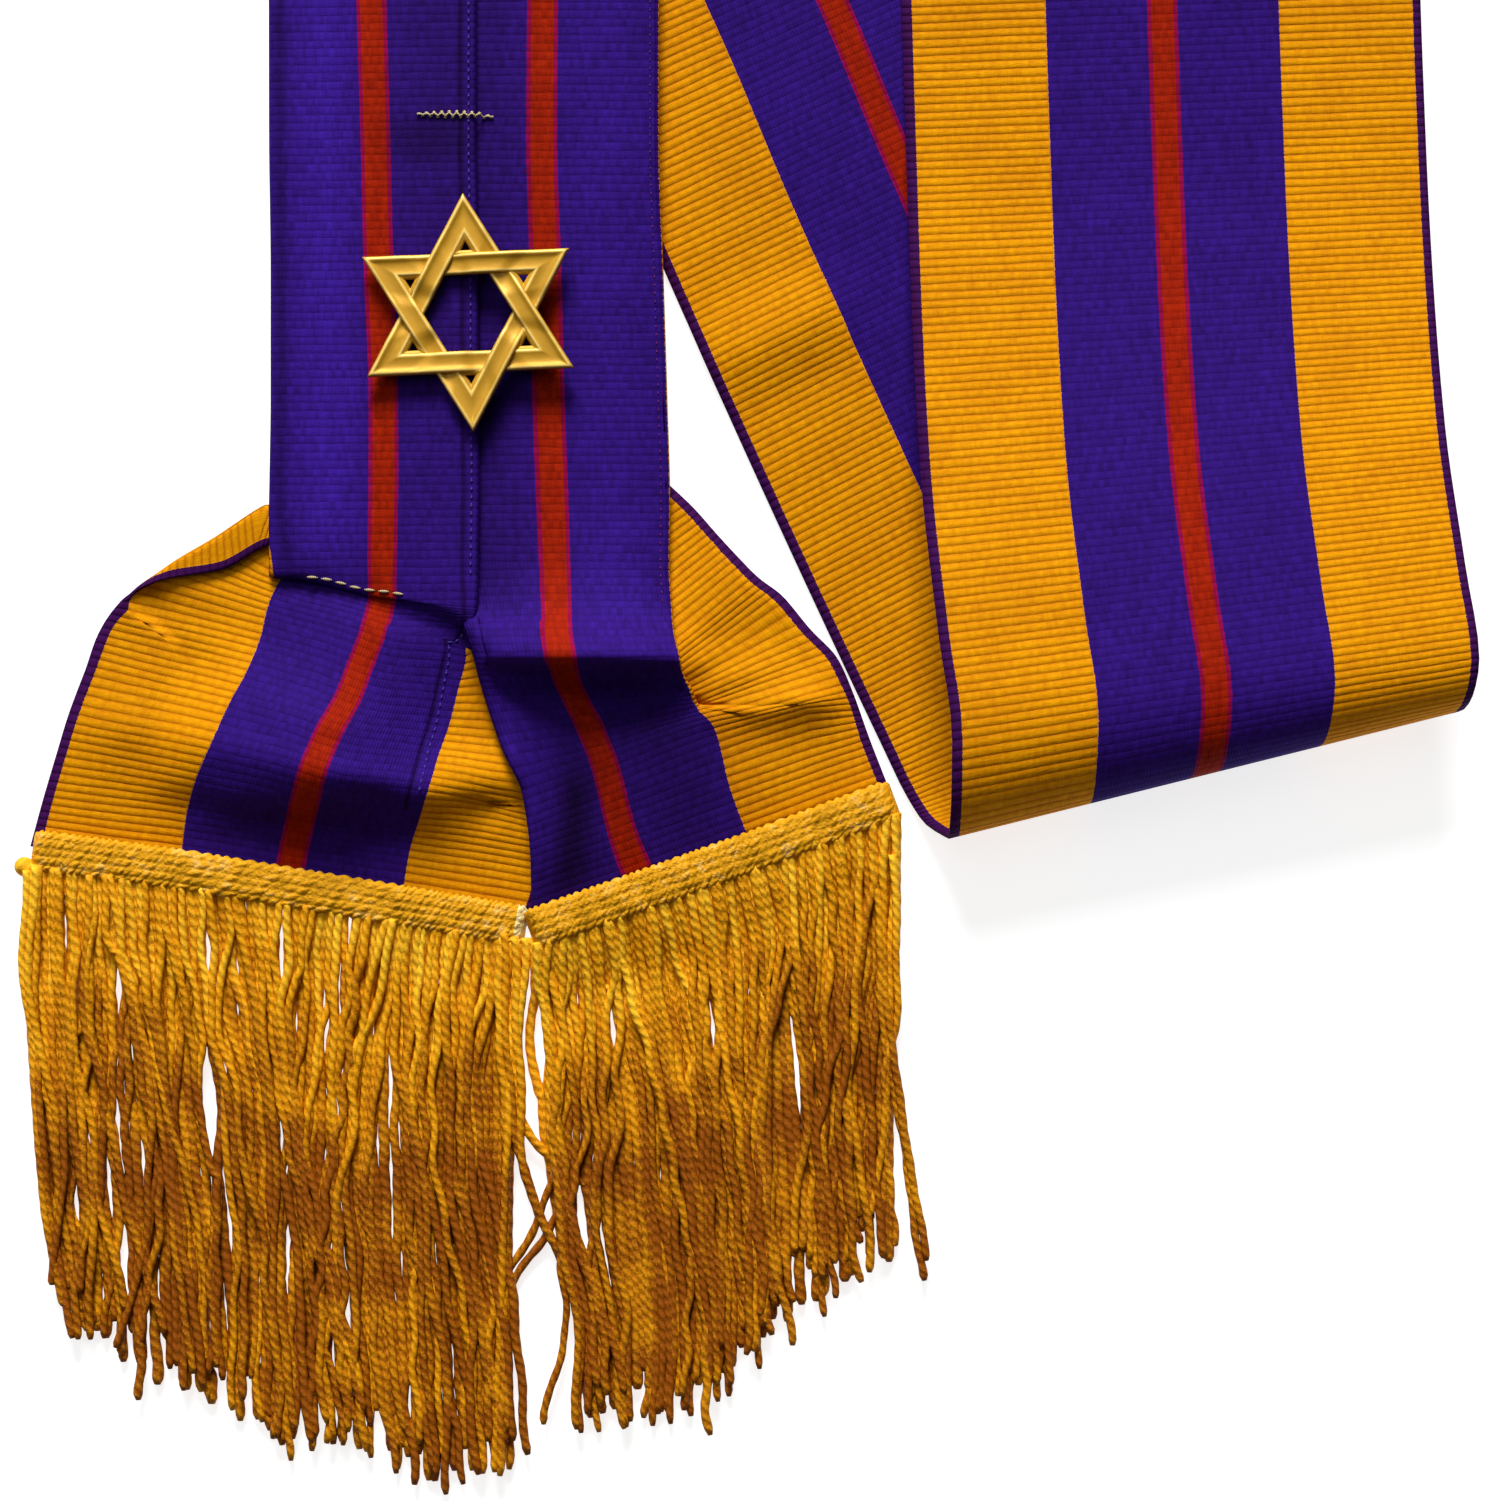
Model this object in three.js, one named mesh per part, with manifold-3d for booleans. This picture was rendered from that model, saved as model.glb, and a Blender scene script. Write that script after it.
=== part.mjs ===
// A ceremonial sash of striped ribbon, lying flat: one ribbon in a loop, whose two ends are folded to half
// width, lapped and sewn side by side, fan out below and carry a gold fringe each, with a cast six-pointed
// star pinned to the strip. Millimetres; x runs to the right, y up the strip and z up from the table.
import * as THREE from "three";
import { mergeVertices } from "three/addons/utils/BufferGeometryUtils.js";
import Module from "manifold-3d";

const wasm = await Module();
wasm.setup();

// Ribbon
const RIBBON_WIDTH = 100;
const RIBBON_MIDDLE = RIBBON_WIDTH / 2;
const BORDER = 27.5; // gold border with its selvedge, on each side
const WALL = 1.0;
const TIGHT_TURN = 0.65; // half the height between the two layers of a turn, where they touch
const ROUND_TURN = 1.3; // the same round one more layer
const TURN_SPREAD = 0.8; // half length across the ribbon of a turn that lies open

// Fringe heading and locks
const HEADING_HEIGHT = 7.8;
const HEADING_TOP = 2.6; // height of the braid above the cloth that it is sewn to
const HEADING_EDGE = 1.5; // height of the braid's rounded edges above that cloth
const HEADING_ROUND = 0.5; // share of its half height where the rounding starts
const HEADING_FOOT = 0.6;
const HEADING_LIP = 1.5; // from the middle of the braid down to where it reaches past the ribbon
const LOCK_WIDTH = 10.6;
const LOCK_DEPTH = 4.0;
const LOCK_SIDES = 6;
const LOCK_ROOT = 1.5; // how far a lock reaches up into the braid
const LOCK_LATE = 0.6; // share of the way to a lock's end where it has straightened out

// Star
const STAR_RADIUS = 22.8;
const STAR_BAR = 4.75;
const STAR_PLATE = 1.5;
const STAR_RIM = 0.7;
const STAR_RIM_HEIGHT = 0.5;
const STAR_OVER = 0.25; // how far a bar rises where it passes over another
const STAR_PLACE = [-53.9, 83.6, 8.1];
const STAR_TURN = 2.5;

// Rows across the folded ends. A place is x, y, z of the middle of the cloth. A turn is where the ribbon
// doubles back: millimetres across the ribbon from its left selvedge, x, y, z, and half the height between
// its two layers, positive where the layer further out lies below, 0 where the cloth is open there.
// Columns: left selvedge, left turn, left band, red stripe, right band, right turn, right selvedge, steps to
// the next row. The first row is at the fringe.
const LEFT_END = [
  [
    [-139.0, -18.5, 1.2], [14, -124.5, -20.9, 1.2, 0], [-110.4, -22.8, 1.2], [-89.8, -26.4, 1.4],
    [-67.6, -29.9, 1.4], [86, -55.0, -32.0, 1.2, 0], [-43.2, -34.0, 1.0], 1,
  ],
  [
    [-136.3, -8.7, 1.2], [14, -122.5, -10.4, 2.0, 0], [-108.7, -12.1, 2.5], [-87.3, -15.4, 3.2],
    [-65.7, -18.9, 2.8], [86, -52.5, -20.8, 2.0, 0], [-39.4, -22.8, 1.5], 1,
  ],
  [
    [-133.7, -0.2, 1.5], [14, -120.0, -2.5, 3.0, 0], [-106.1, -5.0, 7.0], [-85.0, -9.0, 9.0],
    [-63.5, -12.5, 5.4], [86, -50.4, -14.8, 2.6, 0], [-37.2, -17.4, 1.7], 2,
  ],
  [
    [-131.4, 7.1, 1.8], [14, -117.3, 4.4, 4.0, 0], [-102.8, 1.7, 9.5], [-82.9, -2.7, 13.0],
    [-61.7, -7.3, 6.8], [86, -48.8, -10.8, 2.4, 0], [-35.9, -14.1, 1.7], 1,
  ],
  [
    [-129.9, 11.2, 1.8], [14, -115.9, 8.3, 3.5, 0], [-101.3, 5.3, 8.8], [-81.7, 0.5, 12.5],
    [-60.9, -4.6, 6.0], [97, -37.7, -10.9, 1.8, 0], [-36.2, -12.2, 1.7], 1,
  ],
  [
    [-128.3, 15.4, 1.8], [14, -114.4, 12.1, 3.0, 0], [-99.8, 8.8, 8.0], [-80.4, 3.6, 12.0],
    [-60.1, -1.3, 5.0], [97, -37.2, -7.5, 1.7, 0.5], [-38.3, -10.0, 0.7], 1,
  ],
  [
    [-125.8, 22.4, 1.8], [14, -111.4, 18.9, 2.5, 0], [-96.6, 15.3, 6.0], [-77.1, 9.9, 9.0],
    [-58.1, 5.0, 3.8], [91, -40.5, 0.2, 1.8, 0.6], [-43.3, -8.3, 0.7], 1,
  ],
  [
    [-121.8, 28.1, 2.2], [1.5, -120.3, 27.9, 2.4, -0.1], [-94.4, 21.7, 4.0], [-74.8, 16.3, 7.0],
    [-56.5, 11.5, 3.6], [84, -45.5, 8.5, 1.9, 0.6], [-50.6, -6.8, 0.7], 1,
  ],
  [
    [-113.3, 32.7, 4.8], [3.4, -112.9, 34.6, 4.0, -0.6], [-93.0, 28.1, 3.0], [-72.4, 22.6, 6.0],
    [-54.9, 18.2, 4.0], [77, -50.1, 15.8, 2.3, 0.6], [-57.4, -6.0, 0.7], 1,
  ],
  [
    [-101.5, 34.8, 4.0], [8, -102.9, 40.8, 3.6, -0.6], [-90.4, 33.7, 2.2], [-71.3, 27.7, 4.6],
    [-56.6, 23.4, 5.0], [69.5, -53.8, 21.7, 4.2, 0.6], [-78.8, 3.5, 0.6], 1,
  ],
  [
    [-92.0, 39.5, 3.4], [11, -92.8, 47.2, 3.0, -0.6], [-86.8, 39.0, 2.0], [-70.9, 30.2, 4.7],
    [-56.6, 25.3, 6.4], [69, -53.3, 23.8, 6.4, 0.6], [-84.6, 21.3, 0.6], 1,
  ],
  [
    [-90.3, 38.7, 3.0], [27, -92.2, 39.5, 3.2, 0.2], [-88.5, 38.5, 3.3], [-70.8, 30.5, 5.0],
    [-56.4, 26.5, 7.3], [69, -52.9, 25.3, 7.2, 0.6], [-84.3, 24.7, 0.6], 1,
  ],
  [
    [-90.5, 33.3, 3.4], [27, -92.3, 33.5, 3.9, 0.2], [-88.5, 33.1, 4.0], [-70.8, 29.4, 5.4],
    [-56.1, 27.6, 7.6], [69, -52.7, 27.0, 7.4, 0.6], [-84.0, 27.0, 0.7], 1,
  ],
  [
    [-90.2, 37.9, 4.0], [27.5, -92.2, 38.1, 4.4, 0.3], [-89.1, 37.8, 4.8], [-70.8, 32.6, 5.6],
    [-55.7, 30.3, 7.6], [69, -52.5, 29.9, 7.3, 0.65], [-83.8, 30.1, 1.2], 1,
  ],
  [
    [-87.4, 44.7, 3.4], [28.5, -92.3, 44.6, 4.1, 0.7], [-89.3, 44.6, 4.9], [-70.6, 41.2, 5.8],
    [-55.5, 39.2, 7.4], [69, -52.4, 38.9, 7.0, 0.65], [-83.7, 39.1, 2.4], 1,
  ],
];

// The same columns with a second right turn before the right selvedge.
const RIGHT_END = [
  [
    [-12.5, -23.9, 2.0], [31, -41.8, -34.3, 2.6, 0.65], [-39.5, -33.4, 3.2], [-20.2, -26.8, 3.0],
    [0.4, -19.3, 2.6], [80, 7.7, -16.6, 2.3, 0], [90, 17.7, -12.9, 2.1, 0], [27.4, -9.1, 1.8], 1,
  ],
  [
    [-13.1, -11.0, 3.4], [31, -41.9, -21.5, 4.6, 0.8], [-39.2, -20.5, 5.4], [-25.0, -15.4, 5.0],
    [-4.0, -7.7, 4.4], [80, 3.5, -5.0, 3.6, 0], [90, 12.5, -1.9, 2.6, 0], [21.8, 1.5, 1.5], 1,
  ],
  [
    [-14.4, 2.3, 3.4], [31, -43.4, -8.3, 5.0, 0.8], [-40.7, -7.3, 5.8], [-28.4, -2.7, 6.0],
    [-7.5, 5.0, 5.0], [80, 0.2, 6.9, 4.0, 0], [90, 10.0, 9.1, 2.8, 0], [19.3, 11.0, 1.5], 1,
  ],
  [
    [-17.7, 8.5, 3.4], [31, -47.5, 0.8, 5.2, 0.8], [-44.7, 1.5, 6.0], [-30.8, 3.6, 5.6],
    [-10.8, 8.3, 4.4], [73.5, -10.0, 8.5, 3.6, 0.3], [74.5, -10.8, 8.3, 2.6, 0.3], [16.0, 17.8, 1.6], 1,
  ],
  [
    [-20.2, 10.0, 3.2], [31, -50.4, 9.2, 5.4, 1.0], [-47.6, 9.4, 6.3], [-33.9, 10.0, 5.0],
    [-12.3, 11.5, 4.6], [73.2, -11.5, 11.7, 4.0, 0.65], [75, -13.1, 11.6, 2.6, 0.65], [9.6, 23.5, 2.4], 2,
  ],
  [
    [-21.6, 14.6, 3.0], [31, -51.8, 14.0, 6.2, 1.6], [-49.0, 14.0, 7.6], [-35.6, 14.3, 8.0],
    [-14.0, 14.8, 6.6], [73, -13.2, 14.8, 5.8, 0.65], [76, -15.4, 14.6, 3.6, 0.65], [4.6, 30.0, 3.0], 2,
  ],
  [
    [-22.7, 18.5, 2.6], [31, -52.8, 18.2, 7.0, 3.0], [-49.9, 18.1, 10.5], [-36.0, 18.0, 14.0],
    [-14.7, 18.3, 9.6], [73, -13.9, 18.3, 8.8, 0.65], [77, -17.3, 18.2, 5.2, 0.65], [1.5, 33.3, 3.2], 2,
  ],
  [
    [-23.7, 22.8, 2.0], [31, -54.2, 22.4, 6.6, 3.2], [-51.3, 22.3, 9.8], [-36.8, 22.4, 12.0],
    [-15.7, 22.5, 8.6], [73, -14.9, 22.6, 7.9, 0.65], [78.5, -19.8, 22.5, 5.0, 0.65], [-1.5, 36.8, 3.0], 1,
  ],
  [
    [-25.5, 29.2, 1.2], [31, -56.3, 28.6, 3.4, 1.8], [-53.4, 28.5, 5.4], [-37.2, 28.9, 8.0],
    [-16.3, 28.9, 6.2], [73, -15.5, 29.0, 5.5, 0.65], [80.5, -22.5, 29.1, 3.4, 0.65], [-6.4, 41.6, 2.4], 1,
  ],
  [
    [-26.5, 36.1, 0.7], [31, -57.6, 36.0, 2.7, 1.6], [-54.7, 35.9, 4.5], [-37.5, 35.9, 6.0],
    [-16.7, 35.9, 5.2], [73, -15.9, 35.9, 4.5, 0.65], [83, -26.0, 36.0, 2.6, 0.65], [-10.0, 46.9, 2.0], 1,
  ],
  [
    [-27.2, 48.3, 0.7], [31, -58.8, 48.2, 2.6, 1.9], [-55.9, 48.0, 4.5], [-38.0, 48.0, 5.0],
    [-16.5, 48.0, 4.7], [73, -15.8, 48.1, 4.1, 0.65], [87, -29.5, 48.2, 2.6, 0.65], [-18.9, 55.9, 1.9], 1,
  ],
  [
    [-28.4, 67.4, 0.8], [31, -59.2, 67.2, 2.6, 1.9], [-56.5, 67.1, 4.5], [-38.8, 67.1, 4.6],
    [-17.1, 67.1, 4.6], [73, -16.3, 67.1, 3.9, 0.65], [92.5, -35.8, 67.2, 2.6, 0.65], [-30.9, 71.2, 1.9], 1,
  ],
  [
    [-28.8, 92.9, 0.8], [31, -59.5, 92.7, 2.6, 1.9], [-56.9, 92.4, 4.5], [-39.4, 92.4, 4.6],
    [-17.9, 92.4, 4.6], [73, -17.1, 92.5, 3.9, 0.65], [98, -42.0, 92.7, 2.6, 0.65], [-40.5, 93.7, 1.9], 1,
  ],
];

// The sewn strip, where both borders lie folded behind. Columns: y, left fold, red stripe, right fold.
const LEFT_STRIP = [
  [53.8, -92.2, -70.4, -52.3],
  [67.1, -92.0, -70.4, -52.5],
  [92.3, -92.0, -71.5, -52.5],
  [117.8, -92.3, -72.2, -52.9],
  [165.5, -92.4, -73.6, -52.9],
];
const RIGHT_STRIP = [
  [118, -59.5, -40.2, -17.9],
  [165.5, -59.5, -39.8, -17.9],
  [200, -59.5, -40.0, -17.9],
];

// The panel between a strip's folds: where they lie across the ribbon, how far in from them the flat starts,
// and the height of the middle of the cloth at each place.
const LEFT_PANEL = {
  foldL: 28.5,
  foldR: 69,
  insetL: 2.6,
  insetR: 3,
  z: { edgeL: 1.85, turnL: 3.6, bandL: 4.9, stripe: 5.9, bandR: 7.2, turnR: 6.7, edgeR: 3.5 },
};
const RIGHT_PANEL = {
  foldL: 31,
  foldR: 73,
  insetL: 2.6,
  insetR: 0.8,
  z: { edgeL: 1.85, turnL: 3.2, bandL: 4.5, stripe: 4.6, bandR: 4.6, turnR: 3.9, edgeR: 3.2 },
};

// Above the strip the folded borders open out to the full width. Heights are those of the left band, the
// stripe and the right band, at the strip and where the ribbon is open.
const OPEN_STEPS = 3;
const OPEN_SWING = 40; // degrees that the folded border swings as its fold runs out
const OPEN_LAST = 3.6; // what is still folded where the fold runs out
const OPEN_INSET = 0.12; // share of the way from a fold to the stripe where the flat starts
const LEFT_OPENING = {
  stripeX: -73.5,
  foot: 165.5,
  top: 251,
  from: [4.9, 6.4, 7.6],
  to: [3.6, 6.4, 8.4],
  bend: 0.7,
};
const RIGHT_OPENING = {
  stripeX: -40,
  foot: 200,
  top: 230,
  from: [4.6, 4.6, 4.6],
  to: [3.2, 3.2, 3.2],
  bend: 1,
};

// Rows round the loop. Columns: x and y of the red stripe, z at the left selvedge, z at the stripe, z at the
// right selvedge, heading of the ribs in degrees, steps to the next row. Where a border has just opened, its
// last turn is still near the selvedge, which one more column says.
const LOOP = [
  [-73.5, 262, 3.6, 6.4, 8.4, -3, 1, OPEN_LAST],
  [-73.0, 285, 3.0, 6.2, 6.6, -8, 1],
  [-63.0, 330, 2.4, 3.4, 3.4, -15, 1],
  [-38.0, 400, 1.85, 1.85, 1.85, -16.7, 1],
  [5.0, 545, 1.85, 1.85, 1.85, -16.7, 1],
  [48.5, 688, 2.4, 2.4, 2.4, -14, 1],
  [54.6, 706, 2.55, 2.55, 2.55, -9, 1],
  [56.5, 712, 1.55, 1.55, 1.55, -7.2, 1],
  [56.5, 706, 0.65, 0.65, 0.65, -6, 1],
  [57.5, 685, 0.5, 0.5, 0.5, 0, 1],
  [62.0, 590, 0.5, 0.5, 0.5, 2.3, 1],
  [74.0, 285, 0.5, 0.5, 0.5, 2.3, 1],
  [76.0, 245, 1.85, 1.85, 1.85, 2.3, 1],
  [77.5, 203, 1.9, 1.9, 1.9, 2.3, 1],
  [79.1, 144.6, 2.2, 2.2, 2.2, 2.3, 1],
  [80.0, 114, 3.5, 3.5, 3.5, 2.3, 1],
  [80.8, 86.2, 7.0, 7.0, 7.0, 3, 1],
  [82.1, 57, 12.5, 12.5, 12.5, 5, 1],
  [85.0, 28.2, 18.5, 18.5, 18.5, 7.5, 1],
  [87.2, 9.4, 21.5, 21.5, 21.5, 9, 1],
  [86.8, 0.5, 19.0, 19.0, 19.0, 11.5, 1],
  [86.2, -4.4, 11.0, 11.0, 11.0, 14, 1],
  [83.6, 1.8, 3.2, 3.2, 3.2, 17, 1],
  [79.5, 10, 0.8, 0.8, 0.8, 22, 1],
  [74.0, 21.5, 0.5, 0.5, 0.5, 25, 1],
  [27.7, 116, 0.5, 0.5, 0.5, 25.5, 1],
  [15.5, 145, 0.5, 0.5, 0.5, 24.5, 1],
  [-31.0, 241, 0.5, 0.5, 0.5, 20, 1],
  [-38.2, 255.5, 0.6, 0.6, 0.6, 15, 1],
  [-40.0, 260.5, 1.9, 1.9, 1.9, 13, 1],
  [-40.0, 253, 3.1, 3.1, 3.1, 9, 1],
  [-40.0, 241, 3.2, 3.2, 3.2, 4, 1, OPEN_LAST],
];

// Fringe headings. Columns: x, y and the height of the braid's seat above the table.
const LEFT_HEADING = [
  [-140.6, -18.8, 2.4],
  [-110.1, -22.9, 3.0],
  [-67.6, -29.8, 3.2],
  [-44.0, -33.8, 2.4],
];
const RIGHT_HEADING = [
  [-41.2, -33.9, 4.7],
  [-20.6, -26.9, 4.7],
  [0.2, -19.5, 4.3],
  [27.8, -9.2, 3.0],
];

// Locks of fringe. Columns: place along the heading as a share of it, x and y of the lock's middle, x and y
// of its end.
const LEFT_LOCKS = [
  [0.03, -137.9, -63.6, -129.6, -106.1],
  [0.13, -124.4, -65.6, -122.5, -109.9],
  [0.22, -115.7, -67.5, -112.8, -119.6],
  [0.32, -109.0, -67.5, -104.1, -122.5],
  [0.42, -96.4, -69.4, -95.5, -125.3],
  [0.52, -86.8, -69.4, -84.8, -130.2],
  [0.61, -78.1, -71.4, -75.2, -134.0],
  [0.7, -69.4, -71.4, -66.5, -135.0],
  [0.79, -62.7, -73.3, -58.8, -138.5],
  [0.88, -55.0, -73.3, -51.1, -132.1],
  [0.95, -50.6, -73.3, -46.6, -132.7],
];
const RIGHT_LOCKS = [
  [0.06, -37.6, -73.3, -30.9, -125.3],
  [0.13, -30.5, -71.4, -25.1, -122.5],
  [0.24, -21.2, -69.4, -18.3, -124.4],
  [0.35, -13.5, -65.6, -11.6, -120.5],
  [0.46, -6.7, -63.6, -5.4, -114.7],
  [0.57, 0.4, -61.7, 2.9, -109.9],
  [0.68, 7.7, -57.9, 9.6, -104.1],
  [0.79, 14.5, -55.9, 17.0, -99.3],
  [0.89, 21.2, -52.1, 22.2, -95.5],
  [0.98, 26.6, -48.2, 27.0, -94.5],
];

// The section of a lock from its root to its end: share of the length, then its width and its depth as
// shares of the full ones.
const LOCK_SECTIONS = [
  { at: 0, width: 0.82, depth: 0.7 },
  { at: 0.25, width: 1, depth: 1 },
  { at: 0.55, width: 0.96, depth: 0.95 },
  { at: 0.8, width: 0.8, depth: 0.8 },
  { at: 1, width: 0.42, depth: 0.5 },
];

const mix = (a, b, t) => a + (b - a) * t;
const half = (a, b) => mix(a, b, 0.5);
const radians = THREE.MathUtils.degToRad;

// An open turn halfway between the right turn and the right selvedge, for a row that has no second turn.
function openTurn([across, x, y, z], edge) {
  return [half(across, RIBBON_WIDTH), half(x, edge[0]), half(y, edge[1]), half(z, edge[2]), 0];
}

// One row across the ribbon, as plain named places
function leftRow([edgeL, turnL, bandL, stripe, bandR, turnR, edgeR, steps]) {
  return { edgeL, turnL, bandL, stripe, bandR, turnR, fold: openTurn(turnR, edgeR), edgeR, steps };
}

function rightRow([edgeL, turnL, bandL, stripe, bandR, turnR, fold, edgeR, steps]) {
  return { edgeL, turnL, bandL, stripe, bandR, turnR, fold, edgeR, steps };
}

// A row of the sewn strip, on one panel. The left end's laps over the right end's, so it climbs to the right.
function stripRow(panel, [y, left, stripeX, right]) {
  const { foldL, foldR, insetL, insetR, z } = panel;
  const edgeR = [right - (RIBBON_WIDTH - foldR), y, z.edgeR];
  const turnR = [foldR, right, y, z.turnR, TIGHT_TURN];
  return {
    edgeL: [left + foldL, y, z.edgeL],
    turnL: [foldL, left, y, z.turnL, ROUND_TURN],
    bandL: [left + insetL, y, z.bandL],
    stripe: [stripeX, y, z.stripe],
    bandR: [right - insetR, y, z.bandR],
    turnR,
    fold: openTurn(turnR, edgeR),
    edgeR,
    steps: 1,
  };
}

// A row where both borders open out: each fold runs off towards its selvedge as share goes from 0 to 1, and
// the part still folded swings with it.
function openingRow(share, panel, { stripeX, foot, top, from, to, bend }) {
  const y = mix(foot, top, share);
  const atL = mix(panel.foldL, OPEN_LAST, share);
  const atR = mix(panel.foldR, RIBBON_WIDTH - OPEN_LAST, share);
  const over = RIBBON_WIDTH - atR;
  const cos = Math.cos(radians(OPEN_SWING));
  const sin = Math.sin(radians(OPEN_SWING));
  const risen = share ** bend;
  const [zL, zM, zR] = from.map((z, k) => mix(z, to[k], risen));
  const xL = stripeX - (RIBBON_MIDDLE - atL);
  const xR = stripeX + (atR - RIBBON_MIDDLE);
  // Height of a folded layer under its band: as in the strip at first, and at last so many turns below it.
  const under = (band, bandFoot, foldFoot, turns) =>
    band - mix(bandFoot - foldFoot, turns * TIGHT_TURN, risen);
  const edgeR = [xR - over * cos, y + over * sin, under(zR, from[2], panel.z.edgeR, 2)];
  const turnR = [atR, xR, y, under(zR, from[2], panel.z.turnR, 1), TIGHT_TURN];
  return {
    edgeL: [xL + atL * cos, y + atL * sin, under(zL, from[0], panel.z.edgeL, 2)],
    turnL: [atL, xL, y, under(zL, from[0], panel.z.turnL, 1), mix(ROUND_TURN, TIGHT_TURN, risen)],
    bandL: [mix(xL, stripeX, OPEN_INSET), y, zL],
    stripe: [stripeX, y, zM],
    bandR: [mix(xR, stripeX, OPEN_INSET), y, zR],
    turnR,
    fold: openTurn(turnR, edgeR),
    edgeR,
    steps: 1,
  };
}

// An open row of the loop: the places are measured out from the stripe along the ribs.
function loopRow([x, y, zL, zM, zR, heading, steps, turnAt = BORDER / 2]) {
  const cos = Math.cos(radians(heading));
  const sin = Math.sin(radians(heading));
  const at = (across) => {
    const out = across - RIBBON_MIDDLE;
    const z = out < 0 ? mix(zM, zL, -out / RIBBON_MIDDLE) : mix(zM, zR, out / RIBBON_MIDDLE);
    return [x + out * cos, y + out * sin, z];
  };
  const turn = (across) => [across, ...at(across), 0];
  return {
    edgeL: at(0),
    turnL: turn(turnAt),
    bandL: at(BORDER),
    stripe: at(RIBBON_MIDDLE),
    bandR: at(RIBBON_WIDTH - BORDER),
    turnR: turn(RIBBON_WIDTH - turnAt),
    fold: turn(RIBBON_WIDTH - turnAt / 2),
    edgeR: at(RIBBON_WIDTH),
    steps,
  };
}

// Smooth spline through four numbers.
function spline(a, b, c, d, t) {
  const slope = (c - a) / 2;
  const next = (d - b) / 2;
  const t2 = t * t;
  const t3 = t2 * t;
  return (2 * t3 - 3 * t2 + 1) * b + (t3 - 2 * t2 + t) * slope + (3 * t2 - 2 * t3) * c + (t3 - t2) * next;
}

const PLACES = ["edgeL", "turnL", "bandL", "stripe", "bandR", "turnR", "fold", "edgeR"];

// Every row of the ribbon from the left fringe to the right one, with the rows between those of the tables.
function ribbonRows() {
  const shares = Array.from({ length: OPEN_STEPS }, (_, i) => (i + 1) / OPEN_STEPS);
  const leftOpen = shares.map((share) => openingRow(share, LEFT_PANEL, LEFT_OPENING));
  const rightOpen = shares.map((share) => openingRow(share, RIGHT_PANEL, RIGHT_OPENING));
  const rows = [
    ...LEFT_END.map(leftRow),
    ...LEFT_STRIP.map((row) => stripRow(LEFT_PANEL, row)),
    ...leftOpen,
    ...LOOP.map(loopRow),
    ...rightOpen.reverse(),
    ...RIGHT_STRIP.map((row) => stripRow(RIGHT_PANEL, row)).reverse(),
    ...RIGHT_END.map(rightRow).reverse(),
  ];
  const all = [];
  rows.forEach((row, i) => {
    const next = rows[Math.min(i + 1, rows.length - 1)];
    const before = rows[Math.max(i - 1, 0)];
    const after = rows[Math.min(i + 2, rows.length - 1)];
    const steps = i === rows.length - 1 ? 1 : row.steps;
    for (let k = 0; k < steps; k++) {
      const t = k / steps;
      const made = {};
      for (const place of PLACES)
        made[place] = row[place].map((value, j) =>
          spline(before[place][j], value, next[place][j], after[place][j], t),
        );
      all.push(made);
    }
  });
  return all;
}

const vector = (place) => new THREE.Vector3(place[0], place[1], place[2]);

// The points of a turn: half an arc from the outer layer round to the inner one. An open turn lies flat, with
// its points evenly apart.
function turnPoints(turn, outer, inner) {
  const [, x, y, z, lift] = turn;
  const tip = new THREE.Vector3(x, y, z);
  const flat = (v) => v.clone().sub(tip).setZ(0).normalize();
  const toOuter = flat(outer);
  const toInner = flat(inner);
  const round = Math.min(Math.abs(lift) / TIGHT_TURN, 1);
  const reach = mix(TURN_SPREAD, Math.abs(lift), round);
  return [-90, -30, 30, 90].map((degrees) => {
    const angle = radians(degrees);
    const way = degrees < 0 ? toOuter : toInner;
    const out = reach * mix(Math.abs(Math.sin(angle)), 1 - Math.cos(angle), round);
    const point = tip.clone().addScaledVector(way, out);
    point.z = z + lift * Math.sin(angle);
    return point;
  });
}

// The middle of the cloth across one row, from the left selvedge to the right one.
function rowPoints(row) {
  const edgeL = vector(row.edgeL);
  const bandL = vector(row.bandL);
  const stripe = vector(row.stripe);
  const bandR = vector(row.bandR);
  const edgeR = vector(row.edgeR);
  const turnR = vector(row.turnR.slice(1));
  const fold = vector(row.fold.slice(1));
  const between = (a, b, t) => a.clone().lerp(b, t);
  const left = turnPoints(row.turnL, edgeL, bandL);
  const right = turnPoints(row.turnR, fold, bandR).reverse();
  const second = turnPoints(row.fold, edgeR, turnR).reverse();
  return [
    edgeL,
    between(edgeL, left[0], 0.5),
    ...left,
    bandL,
    between(bandL, stripe, 0.5),
    stripe,
    between(stripe, bandR, 0.5),
    bandR,
    ...right,
    ...second,
    between(second.at(-1), edgeR, 0.5),
    edgeR,
  ];
}

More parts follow.
